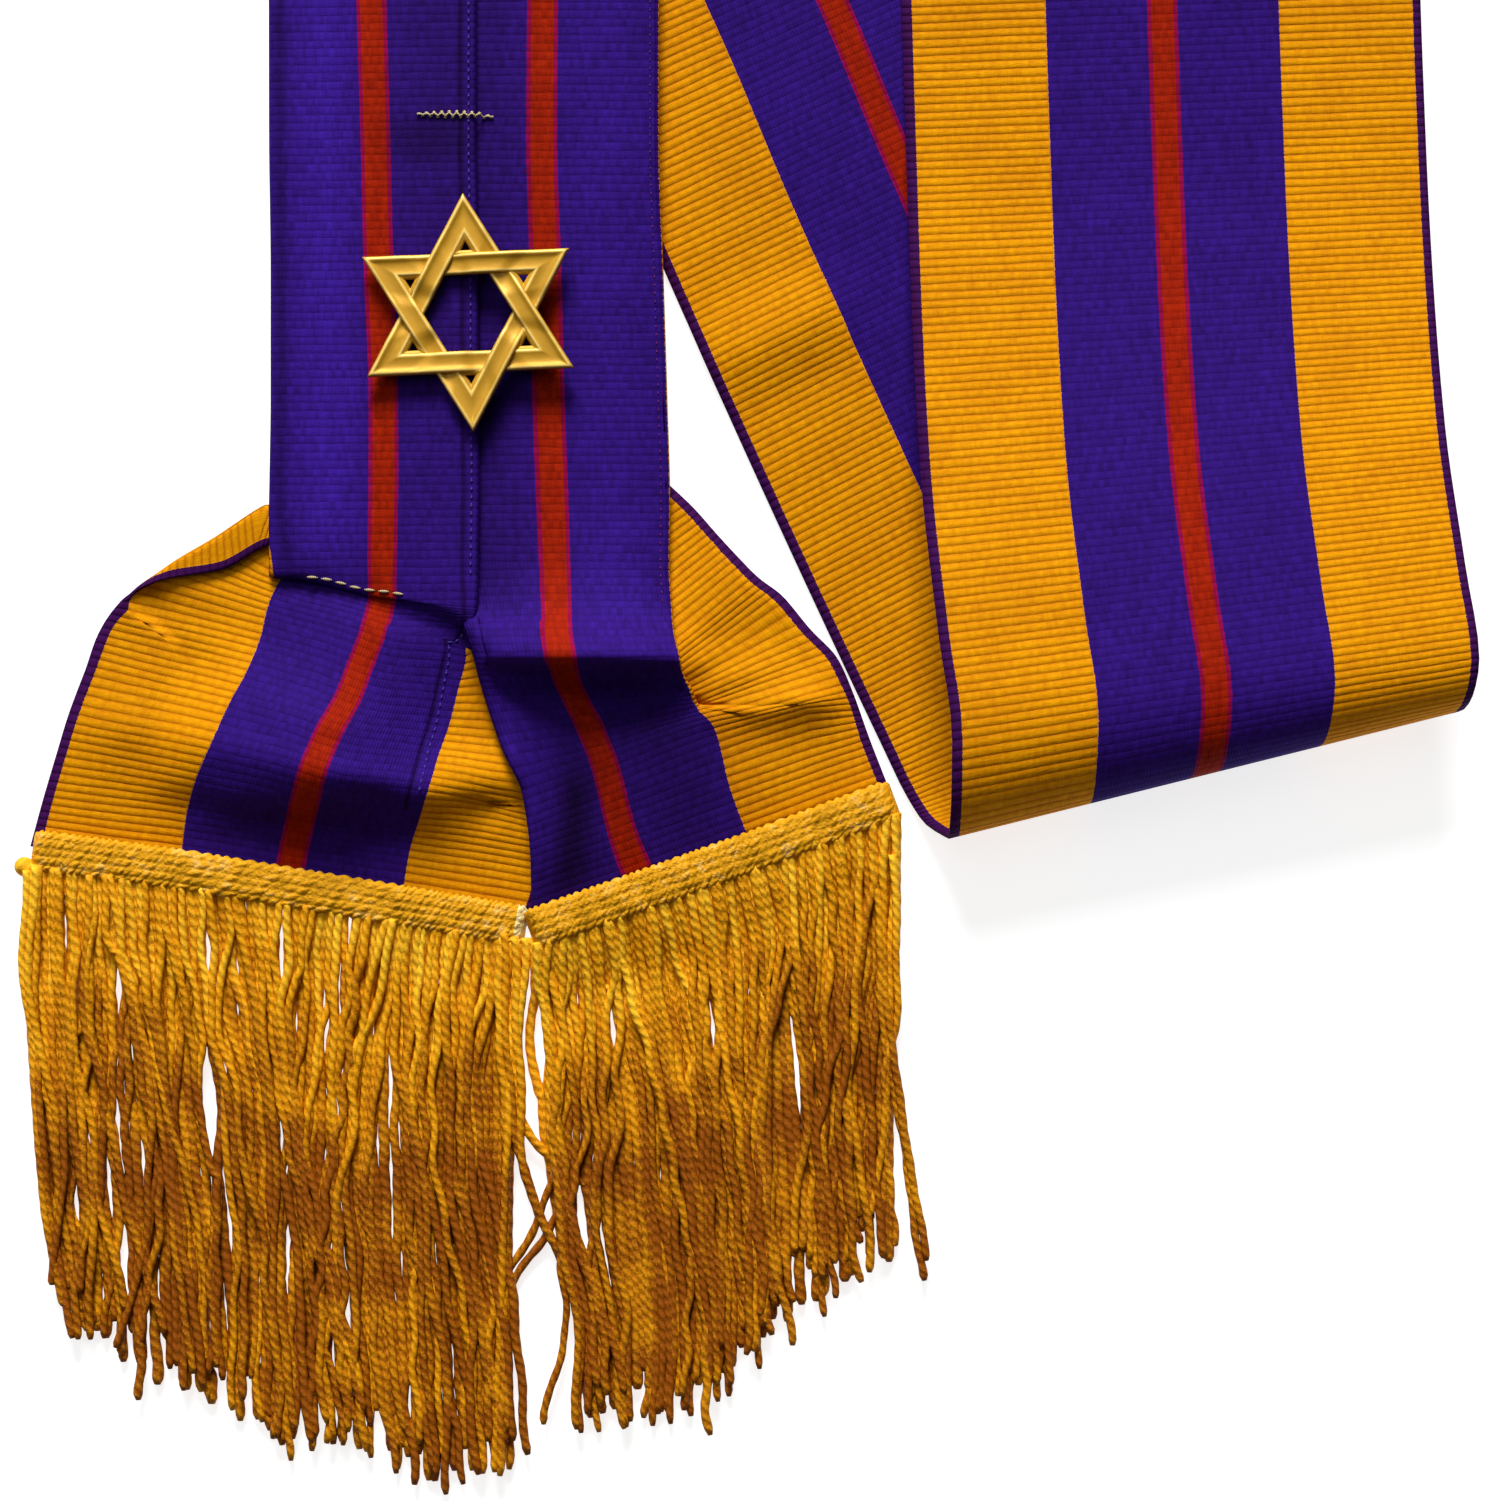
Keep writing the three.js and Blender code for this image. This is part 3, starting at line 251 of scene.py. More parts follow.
# In the middle, and what the borders add
WARP_HEIGHT = (0.14, -0.09)
RIB_HEIGHT = (0.4, 0.6)
# painted shade in the grooves between the ribs
RIB_SHADE = (0.2, 0.26)
RUN_TONE = (1.1, -0.65)  # how much short runs of thread differ
# Creases and bands of painted light on the ends: pressed lines whose dark tone is painted shade, and wider
# bands of painted shade and of painted sheen. Columns: distance across at the start and at the end, half
# width, change of tone, depth, and from where to where along.
LEFT_CREASES_AND_PAINTED_LIGHT = (
    # a pressed line near the left fold, its dark tone painted shade
    (30.9, 30.9, 1.1, -0.4, 0.6, 78.0, 400.0),
    # painted sheen: a lit band on the strip
    (39.5, 39.5, 7.0, 0.6, 0.0, 74.0, 400.0),
    # the seam's pressed lines, their dark tone painted shade
    (69.7, 66.3, 0.5, -0.6, 1.5, 20.0, 78.0),
    (66.3, 66.3, 0.5, -0.6, 1.5, 77.0, 400.0),
    # painted shade along the seam
    (62.0, 62.0, 8.0, -0.2, 0.0, 102.0, 400.0),
    # painted shade at the pleat's fold
    (32.0, 33.5, 4.0, -0.5, 0.0, 70.0, 80.0),
    # painted shade near the upper tack
    (60.0, 60.0, 10.0, -0.4, 0.0, 155.0, 167.0),
)
RIGHT_CREASES_AND_PAINTED_LIGHT = (
    # painted sheen: a lit band on the strip
    (61.5, 61.5, 7.0, 0.25, 0.0, 1880.0, 2056.0),
    # painted shade: a darker band on the strip
    (39.0, 39.0, 6.0, -0.25, 0.0, 1880.0, 2055.0),
    # painted shade in the valley beside the right end's left fold
    (45.0, 36.0, 6.0, -0.8, 0.0, 2074.0, 2112.0),
    # painted shade below the swell's crest
    (65.0, 62.0, 11.0, -0.45, 0.0, 2062.0, 2112.0),
)

# Rows of stitches. Columns: piece, section of the ribbon, distance across at the start and at the end, from
# where to where along, the thread's radius, the share of the pitch that a stitch covers, and its colour.
STITCH_PITCH = 1.6
STITCH_ROWS = (
    ("seam_stitches", "left", 67.7, 67.7, 76.0, 400.0, 0.22, 0.6, "thread"),
    ("lower_seam_stitches", "left", 71.3, 67.7, 24.0, 70.0, 0.22, 0.6, "thread"),
    ("edge_stitches", "right", 71.3, 71.3, 1875.0, 2050.0, 0.13, 0.45, "edge_thread"),
)
STITCH_ENDS = np.array([0.35, 0.8, 1.0, 1.0, 0.8, 0.35])  # shares of the radius along a stitch
THREAD_SIDES = 8

# Tacks
UPPER_TACK = ((-63.8, 121.8), (-49.3, 121.6))
TACK_LOOPS = 10
TACK_HEIGHT = 1.4
TACK_RADIUS = 0.2
LOWER_TACK = ((-85.1, 33.3), (-65.8, 29.4))
TACK_DASHES = 7
DASH_RADIUS = 0.29
TACK_REACH = 1.3  # how near a place the cloth has to be that a tack lies on

# Fringe
HEADING_HEIGHT = 7.8
HEADING_TOP = 2.6
HEADING_FOOT = 0.6
HEADING_ROUND = 2.4  # length of its rounded ends
BRAID_ROWS = 5
BRAID_STITCH = 1.7
BRAID_RINGS = 520
BRAID_TOP = 40  # points over the top of a ring
BRAID_BASE = 8  # points along its underside
CORD_RINGS = 120
CORD_SIDES = 8
ROW_DEPTH = 0.44
LOWEST_ROW_DEPTH = 0.62
CORD_LOBES = 0.06
CORD_ROOT = 1.2  # how far above the heading's lower edge the cords start
CORD_SHADE_FADE = (48.0, 6.0)  # painted shade down the cords: where along a cord it is full, and where it is gone, near the heading
CORD_UNEVEN = 6.0  # how far a cord ends above or below the next
LOWEST_SWELL = 1.3  # how much thicker the cords of the lowest layer are
LOWEST_FREE = 0.25  # how much of the others' waves and drift the lowest layer has
LOWEST_REST = 0.77  # height above the floor of a cord that lies on it, in diameters
LAYER_REST = (0.56, 0.84)  # height of the lowest layer and from one layer to the next, in diameters
LAYER_SETTLE = 0.14  # share of its height that a layer loses on the way to its ends
LAYER_LONGER = 1.5  # how much further from the heading each layer ends than the one below it
PAIRED_ROOTS = 0.45  # how far the roots of the top layer draw together in pairs
LOCK_CORDS = (5.0, 6.5)  # fewest and most cords in a lock
LOCK_TURN = (0, 6.28)
LOCK_SWING = (0.5, 2.2)
LOCK_GATHER = (0.3, 0.6)  # share of the way to the lock's middle
LOCK_DRIFT = (-7.0, 7.0)
LOCK_WAVES = 0.8  # waves on a lock's length
CORD_WANDER = 1.8  # how far the cords of the second layer wander across each other
# Finer waves of single cords. Columns: size, shortest and longest wave.
CORD_WAVES = ((0.55, 26.0, 55.0), (0.26, 10.0, 20.0))
STRAY_STEPS = 24  # points from one place of a stray cord to the next
KNOT_RINGS = 13
KNOT_SIDES = 12
# Columns: x, y and the height of the braid's seat above the surface.
LEFT_HEADING = ((-138.4, -19.1, 2.4), (-110.1, -22.9, 3.0), (-67.6, -29.8, 3.2), (-43.2, -33.9, 2.4))
RIGHT_HEADING = ((-42.6, -34.6, 4.7), (-20.6, -26.9, 4.7), (0.2, -19.5, 4.3), (27.8, -9.2, 3.0))
KNOT_PLACE = (-139.9, -22.4, 2.5)
KNOT_RADIUS = 1.9
# Where the cords run. Columns: share along the heading, x and y of a cord's middle, x and y of its end.
LEFT_CORDS = (
    (0.0, -138.9, -63.6, -131.6, -104.1),
    (0.13, -125.4, -65.6, -124.5, -110.9),
    (0.22, -116.7, -67.5, -114.8, -118.6),
    (0.32, -109.0, -67.5, -105.1, -121.5),
    (0.42, -97.4, -69.4, -96.5, -126.3),
    (0.52, -87.3, -69.4, -85.8, -130.2),
    (0.61, -78.1, -71.4, -76.2, -133.0),
    (0.7, -69.4, -71.4, -66.5, -135.0),
    (0.79, -61.7, -73.3, -58.8, -137.5),
    (0.88, -53.5, -73.3, -51.4, -134.1),
    (1.0, -45.0, -73.3, -46.4, -131.0),
)
RIGHT_CORDS = (
    (0.0, -40.2, -73.3, -31.2, -126.0),
    (0.13, -30.5, -71.4, -25.1, -124.5),
    (0.24, -21.2, -69.4, -18.3, -124.4),
    (0.35, -13.5, -65.6, -11.6, -120.5),
    (0.46, -6.7, -63.6, -5.4, -114.7),
    (0.57, 0.4, -61.7, 2.9, -109.9),
    (0.68, 7.7, -57.9, 9.6, -104.1),
    (0.79, 14.5, -55.9, 16.5, -99.3),
    (0.89, 21.2, -52.1, 21.7, -95.5),
    (1.0, 28.0, -45.2, 27.5, -93.5),
)

# Gaps between the cords where the surface shows. Columns: x and y of the middle, half width, half length.
LEFT_GAPS = (
    (-128.9, -46.2, 1.0, 9.0),
    (-121.6, -45.0, 1.1, 7.0),
    (-103.9, -68.5, 1.9, 14.0),
    (-87.4, -51.5, 1.0, 9.0),
    (-129.8, -88.0, 1.0, 8.0),
    (-104.5, -112.0, 0.8, 9.0),
)
RIGHT_GAPS = (
    (-40.6, -56.5, 1.7, 11.0),
    (-26.5, -54.0, 1.2, 9.0),
    (-33.5, -73.5, 1.5, 7.0),
    (-17.4, -81.5, 0.9, 10.0),
    (-40.5, -112.0, 3.6, 17.0),
)
# Cords that leave their lock: the x and y of six places from the heading to the end.
LEFT_STRAYS = (
    ((-45.4, -35.8), (-44.6, -58.0), (-43.7, -80.0), (-38.6, -93.5), (-31.6, -108.0), (-28.4, -122.8)),
    ((-47.4, -34.8), (-46.8, -58.0), (-44.6, -77.0), (-39.8, -91.0), (-34.4, -105.0), (-31.3, -124.7)),
    ((-139.2, -23.0), (-139.9, -40.0), (-137.6, -60.0), (-132.4, -76.0), (-131.6, -87.0), (-128.4, -95.5)),
    ((-137.4, -22.4), (-138.8, -46.0), (-134.6, -66.0), (-133.4, -80.0), (-134.0, -92.0), (-131.6, -105.0)),
    ((-127.0, -24.0), (-128.2, -48.0), (-124.6, -68.0), (-125.0, -84.0), (-129.6, -98.0), (-131.6, -108.0)),
)
RIGHT_STRAYS = (
    ((-42.4, -36.0), (-38.9, -56.1), (-36.9, -75.0), (-39.9, -88.0), (-44.6, -97.0), (-48.9, -104.4)),
    ((-41.2, -36.0), (-34.6, -60.0), (-33.5, -78.0), (-36.4, -88.0), (-40.6, -95.0), (-46.6, -103.5)),
    ((-43.2, -36.0), (-44.0, -50.0), (-45.4, -63.0), (-42.0, -75.0), (-35.4, -81.0), (-28.9, -86.0)),
    ((27.2, -20.0), (28.4, -46.0), (26.0, -64.0), (26.2, -78.0), (27.4, -88.0), (28.0, -95.7)),
)
# The fringes. Columns: side, heading, cords, gaps, strays, from where along the braid is pale, random seed.
FRINGES = (
    ("left", LEFT_HEADING, LEFT_CORDS, LEFT_GAPS, LEFT_STRAYS, 0.972, 11),
    ("right", RIGHT_HEADING, RIGHT_CORDS, RIGHT_GAPS, RIGHT_STRAYS, 2.0, 23),
)

# Star
STAR_PLACE = (-53.9, 83.6)
STAR_TURN = 2.5
STAR_RADIUS = 22.8
STAR_OVER = 0.42
STAR_LEVEL = 3.0  # half length of a side that is level at a crossing
STAR_FALL = 4.2
STAR_STEPS = 66  # points along a side
STAR_WEB_STEPS = 8
STAR_WEB_INSET = 0.2  # the plates' finish is that of a bar so many centimetres in
# Section of a bar from its outer edge to its inner one: distance in from the outline, and height.
STAR_SECTION = np.array([
    (0.0, 0.0), (0.0, 1.45), (0.12, 1.75), (0.42, 1.95), (0.8, 1.9), (1.1, 1.7), (1.5, 1.58),
    (2.1, 1.54), (2.8, 1.58), (3.2, 1.66), (3.55, 1.74), (3.85, 1.66), (4.05, 1.4), (4.05, 0.0),
])
STAR_RIM_HIGHLIGHTS = (0.45, 3.6)  # how far in the two raised rims lie, which carry a painted highlight
# Section of the plate round each small hole: circumradius of its triangle, and height.
STAR_WEB = np.array([
    (3.1, 0.0), (3.1, 1.5), (2.4, 1.55), (1.5, 1.35), (1.2, 1.2), (1.1, 0.9), (1.1, 0.0),
])

# Stage, in metres. Columns: light, its place from the middle of the view, its size, the setting of its power.
LIGHTS = (
    ("key_light", (-0.2, 2.9, 1.6), 1.2, "key"),
    ("soft_light", (-1.0, 1.2, 2.6), 2.0, "soft"),
)
FLOOR_HALF = 20.0
FLOOR_GREY = 0.45
SENSOR_WIDTH = 36.0


def linear(red, green, blue):
    """A colour of 0 to 255 as the eye sees it, as the linear values that a shader takes."""
    shares = [value / 255 for value in (red, green, blue)]
    return tuple(s / 12.92 if s <= 0.04045 else ((s + 0.055) / 1.055) ** 2.4 for s in shares)


def colour_property(name, description, colour):
    """A colour that a user may change."""
    return FloatVectorProperty(
        name=name, description=description, subtype="COLOR", size=3, min=0, max=1, default=linear(*colour)
    )


def length_property(name, description, millimetres):
    """A length that a user may change."""
    return FloatProperty(name=name, description=description, default=millimetres * MM, unit="LENGTH")


class SashRibbonSettings(bpy.types.PropertyGroup):
    """Cloth and colours of the ribbon."""

    wall: length_property("Cloth thickness", "Thickness of the ribbon", 0.7)
    rib_pitch: length_property("Rib pitch", "Distance from one rib to the next", 1.58)
    gold: colour_property("Gold", "Colour of the borders", (203, 129, 0))
    violet: colour_property("Violet", "Colour of the middle", (42, 13, 104))
    red: colour_property("Red", "Colour of the middle stripe", (141, 26, 1))
    selvedge: colour_property("Selvedge", "Colour of the woven edges", (54, 10, 68))
    line: colour_property("Line", "Colour of the thin lines between two stripes", (128, 4, 56))
    thread: colour_property("Sewing thread", "Colour of the rows of stitches", (66, 46, 150))
    edge_thread: colour_property("Edge thread", "Colour of the stitches at the right edge", (104, 26, 104))
    tack: colour_property("Tack thread", "Colour of the two tacks", (196, 176, 132))


class SashFringeSettings(bpy.types.PropertyGroup):
    """Cords of the fringes."""

    cords: IntProperty(name="Cords", description="Cords in a layer of one fringe", default=50, min=8, max=60)
    layers: IntProperty(name="Layers", description="Layers of cords in a fringe", default=3, min=1, max=4)
    diameter: length_property("Cord diameter", "Thickness of one cord", 1.65)
    twist: length_property("Twist", "Distance in which a ply goes once round its cord", 4.2)
    shadow: colour_property("Cord shadow", "Colour deep between the plies", (140, 72, 2))
    gold: colour_property("Cord gold", "Colour of the cords", (222, 148, 6))
    # the palest cords, and the cords near the heading where the painted shade is gone
    light: colour_property("Cord light", "Colour of the palest cords", (252, 198, 44))
    braid: colour_property("Braid gold", "Colour of the woven heading", (222, 155, 12))
    pale: colour_property("Braid end", "Colour of the braid's pale end", (232, 208, 140))


class SashStarSettings(bpy.types.PropertyGroup):
    """Finish of the star."""

    gilt: colour_property("Gilt", "Colour of the gilt metal", (206, 152, 24))
    # colour of the painted highlight on the raised rims
    rim_highlight: colour_property("Rim", "Colour of the worn rims", (246, 214, 120))
    roughness: FloatProperty(
        name="Roughness", description="How dull the metal is", default=0.5, min=0, max=1, subtype="FACTOR"
    )


class SashStageSettings(bpy.types.PropertyGroup):
    """Floor, lights and camera."""

    camera_height: length_property("Camera height", "Height of the camera above the floor", 700.0)
    view_width: length_property("View width", "Width of the floor that the camera sees", 290.3)
    key: FloatProperty(name="Key light", description="Power of the key light", default=185, unit="POWER")
    soft: FloatProperty(name="Soft light", description="Power of the soft light", default=20, unit="POWER")
    sky: FloatProperty(name="Sky", description="Strength of the light from all sides", default=0.06)
    glow: FloatProperty(name="Floor glow", description="Light that the floor gives to stay pale", default=0.8)


def plan_shift():
    """From the plan to the part's frame, in millimetres: the star's centre is known in both."""
    low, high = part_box("star_ornament")
    return np.array([(low[k] + high[k]) / 2 / MM - STAR_PLACE[k] for k in range(2)] + [0.0])


SHIFT = plan_shift()


def to_part(points):
    """Plan millimetres as metres in the part's frame."""
    return (np.asarray(points, float) + SHIFT) * MM


def mix(a, b, t):
    return a + (b - a) * t


def smooth(share):
    """0 to 1 with level ends."""
    share = np.clip(share, 0, 1)
    return share * share * (3 - 2 * share)


def limited_slopes(values, knots):
    """Slopes at the knots of a curve that never passes its own points: the harmonic mean of the slopes before
    and after, weighted by their lengths, and 0 where the values turn back."""
    lengths = np.diff(knots, axis=0)
    slopes = np.diff(values, axis=0) / lengths
    before, after = slopes[:-1], slopes[1:]
    weight_before = 2 * lengths[1:] + lengths[:-1]
    weight_after = lengths[1:] + 2 * lengths[:-1]
    same_way = before * after > 0
    safe_before = np.where(same_way, before, 1.0)
    safe_after = np.where(same_way, after, 1.0)
    mean = (weight_before + weight_after) / (weight_before / safe_before + weight_after / safe_after)
    return np.concatenate([slopes[:1], np.where(same_way, mean, 0.0), slopes[-1:]])


def curve_through(values, knots, spans, shares):
    """Cubic between neighbouring values, with limited slopes at the knots. spans says between which two
    values each result lies, and shares how far along."""
    slopes = limited_slopes(values, knots)
    length = np.diff(knots, axis=0)[spans]
    t = shares.reshape([-1] + [1] * (values.ndim - 1))
    start = (2 * t**3 - 3 * t**2 + 1) * values[spans] + (t**3 - 2 * t**2 + t) * length * slopes[spans]
    end = (3 * t**2 - 2 * t**3) * values[spans + 1] + (t**3 - t**2) * length * slopes[spans + 1]
    return start + end


def spread(counts):
    """Spans and shares for so many steps in each span, with the last point."""
    counts = np.asarray(counts)
    spans = np.repeat(np.arange(counts.size), counts)
    starts = np.repeat(np.cumsum(counts) - counts, counts)
    shares = (np.arange(spans.size) - starts) / counts[spans]
    return np.append(spans, counts.size - 1), np.append(shares, 1.0)


def open_turn(turn, edge, fallen=0.5):
    """An open turn halfway between the right turn and the right selvedge, and that share of the way down."""
    halfway = [(a + b) / 2 for a, b in zip(turn[:3], (WIDTH, *edge[:2]))]
    return [*halfway, mix(turn[3], edge[2], fallen), 0.0]


def flat_row(edge_l, turn_l, band_l, stripe, band_r, turn_r, fold, edge_r):
    """A row's places one after the other: 30 numbers."""
    return [*edge_l, *turn_l, *band_l, *stripe, *band_r, *turn_r, *fold, *edge_r]


def left_row(row):
    """A row of the left end. The border folded under it lies low."""
    return flat_row(*row[:6], open_turn(row[5], row[6], SUNK if row[5][4] else 0.5), row[6])


def strip_row(panel, row):
    """A row of the sewn strip on one panel."""
    y, left, stripe, right = row
    z = panel["z"]
    edge_r = (right - (WIDTH - panel["fold_r"]), y, z["edge_r"])
    turn_r = (panel["fold_r"], right, y, z["turn_r"], TIGHT_TURN)
    return flat_row(
        (left + panel["fold_l"], y, z["edge_l"]),
        (panel["fold_l"], left, y, z["turn_l"], ROUND_TURN),
        (left + panel["inset_l"], y, z["band_l"]),
        (stripe, y, z["stripe"]),
        (right - panel["inset_r"], y, z["band_r"]),
        turn_r,
        open_turn(turn_r, edge_r),
        edge_r,
    )


def opening_row(share, panel, opening):
    """A row where both borders open out: each fold runs off towards its selvedge, and what is still folded
    swings with it."""
    y = mix(opening["foot"], opening["top"], share)
    at_l = mix(panel["fold_l"], OPEN_LAST, share)
    at_r = mix(panel["fold_r"], WIDTH - OPEN_LAST, share)
    over = WIDTH - at_r
    cos, sin = math.cos(math.radians(OPEN_SWING)), math.sin(math.radians(OPEN_SWING))
    risen = share ** opening["bend"]
    foot = opening["from"]
    z_l, z_m, z_r = (mix(a, b, risen) for a, b in zip(foot, opening["to"]))
    x_l = opening["stripe"] - (MIDDLE - at_l)
    x_r = opening["stripe"] + (at_r - MIDDLE)

    def under(band, band_foot, layer_foot, turns):
        return band - mix(band_foot - layer_foot, turns * TIGHT_TURN, risen)

    z = panel["z"]
    edge_r = (x_r - over * cos, y + over * sin, under(z_r, foot[2], z["edge_r"], 2))
    turn_r = (at_r, x_r, y, under(z_r, foot[2], z["turn_r"], 1), TIGHT_TURN)
    return flat_row(
        (x_l + at_l * cos, y + at_l * sin, under(z_l, foot[0], z["edge_l"], 2)),
        (at_l, x_l, y, under(z_l, foot[0], z["turn_l"], 1), mix(ROUND_TURN, TIGHT_TURN, risen)),
        (mix(x_l, opening["stripe"], OPEN_INSET), y, z_l),
        (opening["stripe"], y, z_m),
        (mix(x_r, opening["stripe"], OPEN_INSET), y, z_r),
        turn_r,
        open_turn(turn_r, edge_r),
        edge_r,
    )


def loop_row(row):
    """An open row of the loop: the places are measured out from the stripe along the ribs."""
    x, y, z_l, z_m, z_r, heading = row[:6]
    turn_at = row[6] if len(row) > 6 else BORDER / 2
    cos, sin = math.cos(math.radians(heading)), math.sin(math.radians(heading))

    def at(across):
        out = across - MIDDLE
        z = mix(z_m, z_l if out < 0 else z_r, abs(out) / MIDDLE)
        return (x + out * cos, y + out * sin, z)

    def turn(across):
        return (across, *at(across), 0.0)

    return flat_row(
        at(0), turn(turn_at), at(BORDER), at(MIDDLE), at(WIDTH - BORDER),
        turn(WIDTH - turn_at), turn(WIDTH - turn_at / 2), at(WIDTH),
    )


def ribbon_rows():
    """Every row from the left fringe to the right one, and the numbers of the rows where the strips end."""
    shares = [(k + 1) / OPEN_STEPS for k in range(OPEN_STEPS)]
    left = [left_row(row) for row in LEFT_END] + [strip_row(LEFT_PANEL, row) for row in LEFT_STRIP]
    loop = [opening_row(share, LEFT_PANEL, LEFT_OPENING) for share in shares]
    loop += [loop_row(row) for row in LOOP]
    loop += [opening_row(share, RIGHT_PANEL, RIGHT_OPENING) for share in reversed(shares)]
    right = [strip_row(RIGHT_PANEL, row) for row in reversed(RIGHT_STRIP)]
    right += [flat_row(*row) for row in reversed(RIGHT_END)]
    return np.array(left + loop + right, float), len(left) - 1, len(left) + len(loop)


# Columns of a flat row
EDGE_L, TURN_L, BAND_L, STRIPE, BAND_R, TURN_R, FOLD, EDGE_R = 0, 3, 8, 11, 14, 17, 22, 27


def place(rows, column):
    """x, y and z of one of the columns in each row."""
    return rows[:, column : column + 3]


def turn_points(turn, outer, inner):
    """Points of a turn, half an arc from the outer layer round to the inner one: the reach out from the tip
    is 1 - cos of the angle and the height its sine. An open turn lies flat."""
    tip = turn[:, 1:4]
    lift = turn[:, 4:5]

    def towards(point):
        way = (point - tip) * (1, 1, 0)
        return way / np.maximum(np.linalg.norm(way, axis=1, keepdims=True), 1e-6)

    round_share = np.minimum(np.abs(lift) / TIGHT_TURN, 1)
    reach = mix(TURN_SPREAD, np.abs(lift), round_share)
    points = []
    for degrees in ARC_DEGREES:
        sine, cosine = math.sin(math.radians(degrees)), math.cos(math.radians(degrees))
        out = reach * mix(abs(sine), 1 - cosine, round_share)
        point = tip + (towards(outer) if degrees < 0 else towards(inner)) * out
        points.append(point + lift * sine * np.array([0, 0, 1]))
    return points


def ribbon_surface(rows):
    """Middle surface of the cloth on a fine grid, with millimetres across and along the ribbon at each point:
    each row's places and arcs are joined by a curve across, and the share across follows the arc length
    between the places whose distance from the left selvedge is known."""
    edge_l, band_l, stripe = place(rows, EDGE_L), place(rows, BAND_L), place(rows, STRIPE)
    band_r, edge_r = place(rows, BAND_R), place(rows, EDGE_R)
    turn_l, turn_r, fold = (rows[:, c : c + 5] for c in (TURN_L, TURN_R, FOLD))
    left = turn_points(turn_l, edge_l, band_l)
    right = turn_points(turn_r, fold[:, 1:4], band_r)[::-1]
    second = turn_points(fold, edge_r, turn_r[:, 1:4])[::-1]
    points = np.array([edge_l, *left, band_l, stripe, band_r, *right, *second, edge_r])
    arc = len(ARC_DEGREES)
    tip_l, tip_r, tip_fold = 1 + arc // 2, 4 + arc + arc // 2, 4 + 2 * arc + arc // 2
    steps = np.linalg.norm(np.diff(points, axis=0), axis=2)
    knots = np.concatenate([np.zeros((1, rows.shape[0])), np.cumsum(np.maximum(steps, 1e-4), axis=0)])
    from_tip_l = np.linalg.norm(band_l - turn_l[:, 1:4], axis=1)
    from_tip_r = np.linalg.norm(band_r - turn_r[:, 1:4], axis=1)
    across_l = np.where(turn_l[:, 0] > FLAP_TURN, turn_l[:, 0] + from_tip_l, BORDER)
    across_r = np.where(turn_r[:, 0] < FLAP_TURN_RIGHT, turn_r[:, 0] - from_tip_r, WIDTH - BORDER)
    known = [
        (0, 0 * across_l), (tip_l, turn_l[:, 0]), (1 + arc, across_l), (2 + arc, MIDDLE + 0 * across_l),
        (3 + arc, across_r), (tip_r, turn_r[:, 0]), (tip_fold, fold[:, 0]),
        (4 + 3 * arc, WIDTH + 0 * across_l),
    ]
    across = np.zeros_like(knots)
    for (a, value_a), (b, value_b) in zip(known, known[1:]):
        share = (knots[a : b + 1] - knots[a]) / (knots[b] - knots[a])
        across[a : b + 1] = mix(value_a, value_b, share)
    arc_spans = [1] * (arc - 1)
    half = COLUMNS // 2
    ends = [*arc_spans, half, *arc_spans, COLUMNS]
    counts = [COLUMNS, *arc_spans, half, COLUMNS, COLUMNS, half, *ends]
    spans, shares = spread(counts)
    surface = curve_through(points, knots[..., None], spans, shares)
    fine_across = across[spans] + (across[spans + 1] - across[spans]) * shares[:, None]
    return surface.transpose(1, 0, 2), fine_across.T


def mean_steps(rows):
    """Mean distance from each row to the next, over the selvedges, the bands and the stripe."""
    places = np.stack([place(rows, c) for c in (EDGE_L, BAND_L, STRIPE, BAND_R, EDGE_R)])
    return np.linalg.norm(np.diff(places, axis=1), axis=2).mean(0)


def row_steps(rows, pitch):
    """Fine rows from each row to the next, and the distance of each row along the ribbon: halfway between the
    stripe's length and the mean of five lines."""
    steps = mean_steps(rows)
    stripe = np.linalg.norm(np.diff(place(rows, STRIPE), axis=0), axis=1)
    marks = np.concatenate([[0.0], np.cumsum((stripe + steps) / 2)])
    return np.maximum(np.ceil(steps / pitch).astype(int), LEAST_ROWS), marks


def fine_rows(rows, pitch):
    """Rows between the table's rows, about a pitch apart, and the distance of each along the ribbon."""
    counts, marks = row_steps(rows, pitch)
    knots = np.concatenate([[0.0], np.cumsum(mean_steps(rows))])
    spans, shares = spread(counts)
    return curve_through(rows, knots[:, None], spans, shares), marks[spans] + np.diff(marks)[spans] * shares


def face_normals(surface):
    """Unit normals of a grid: the way across crossed with the way along."""
    normal = np.cross(np.gradient(surface, axis=1), np.gradient(surface, axis=0))
    return normal / np.maximum(np.linalg.norm(normal, axis=2, keepdims=True), 1e-9)


def ring_faces(rings, size):
    """Quads between rings of points, each closed round, as corner numbers."""
    i, j = np.meshgrid(np.arange(rings - 1), np.arange(size), indexing="ij")
    here, following = i * size + j, i * size + (j + 1) % size
    return np.stack([here, following, following + size, here + size], -1).reshape(-1, 4)


def mesh_piece(name, points, faces, corner_uv, material):
    """A piece whose object sits at the origin, from points in metres, faces and a uv for each face corner."""
    mesh = bpy.data.meshes.new(name)
    mesh.from_pydata(np.asarray(points).tolist(), [], faces)
    layer = mesh.uv_layers.new(name="surface")
    layer.data.foreach_set("uv", np.asarray(corner_uv, np.float32).ravel())
    mesh.materials.append(material)
    mesh.shade_smooth()
    mesh.validate()
    piece = bpy.data.objects.new(name, mesh)
    bpy.context.scene.collection.objects.link(piece)
    return piece


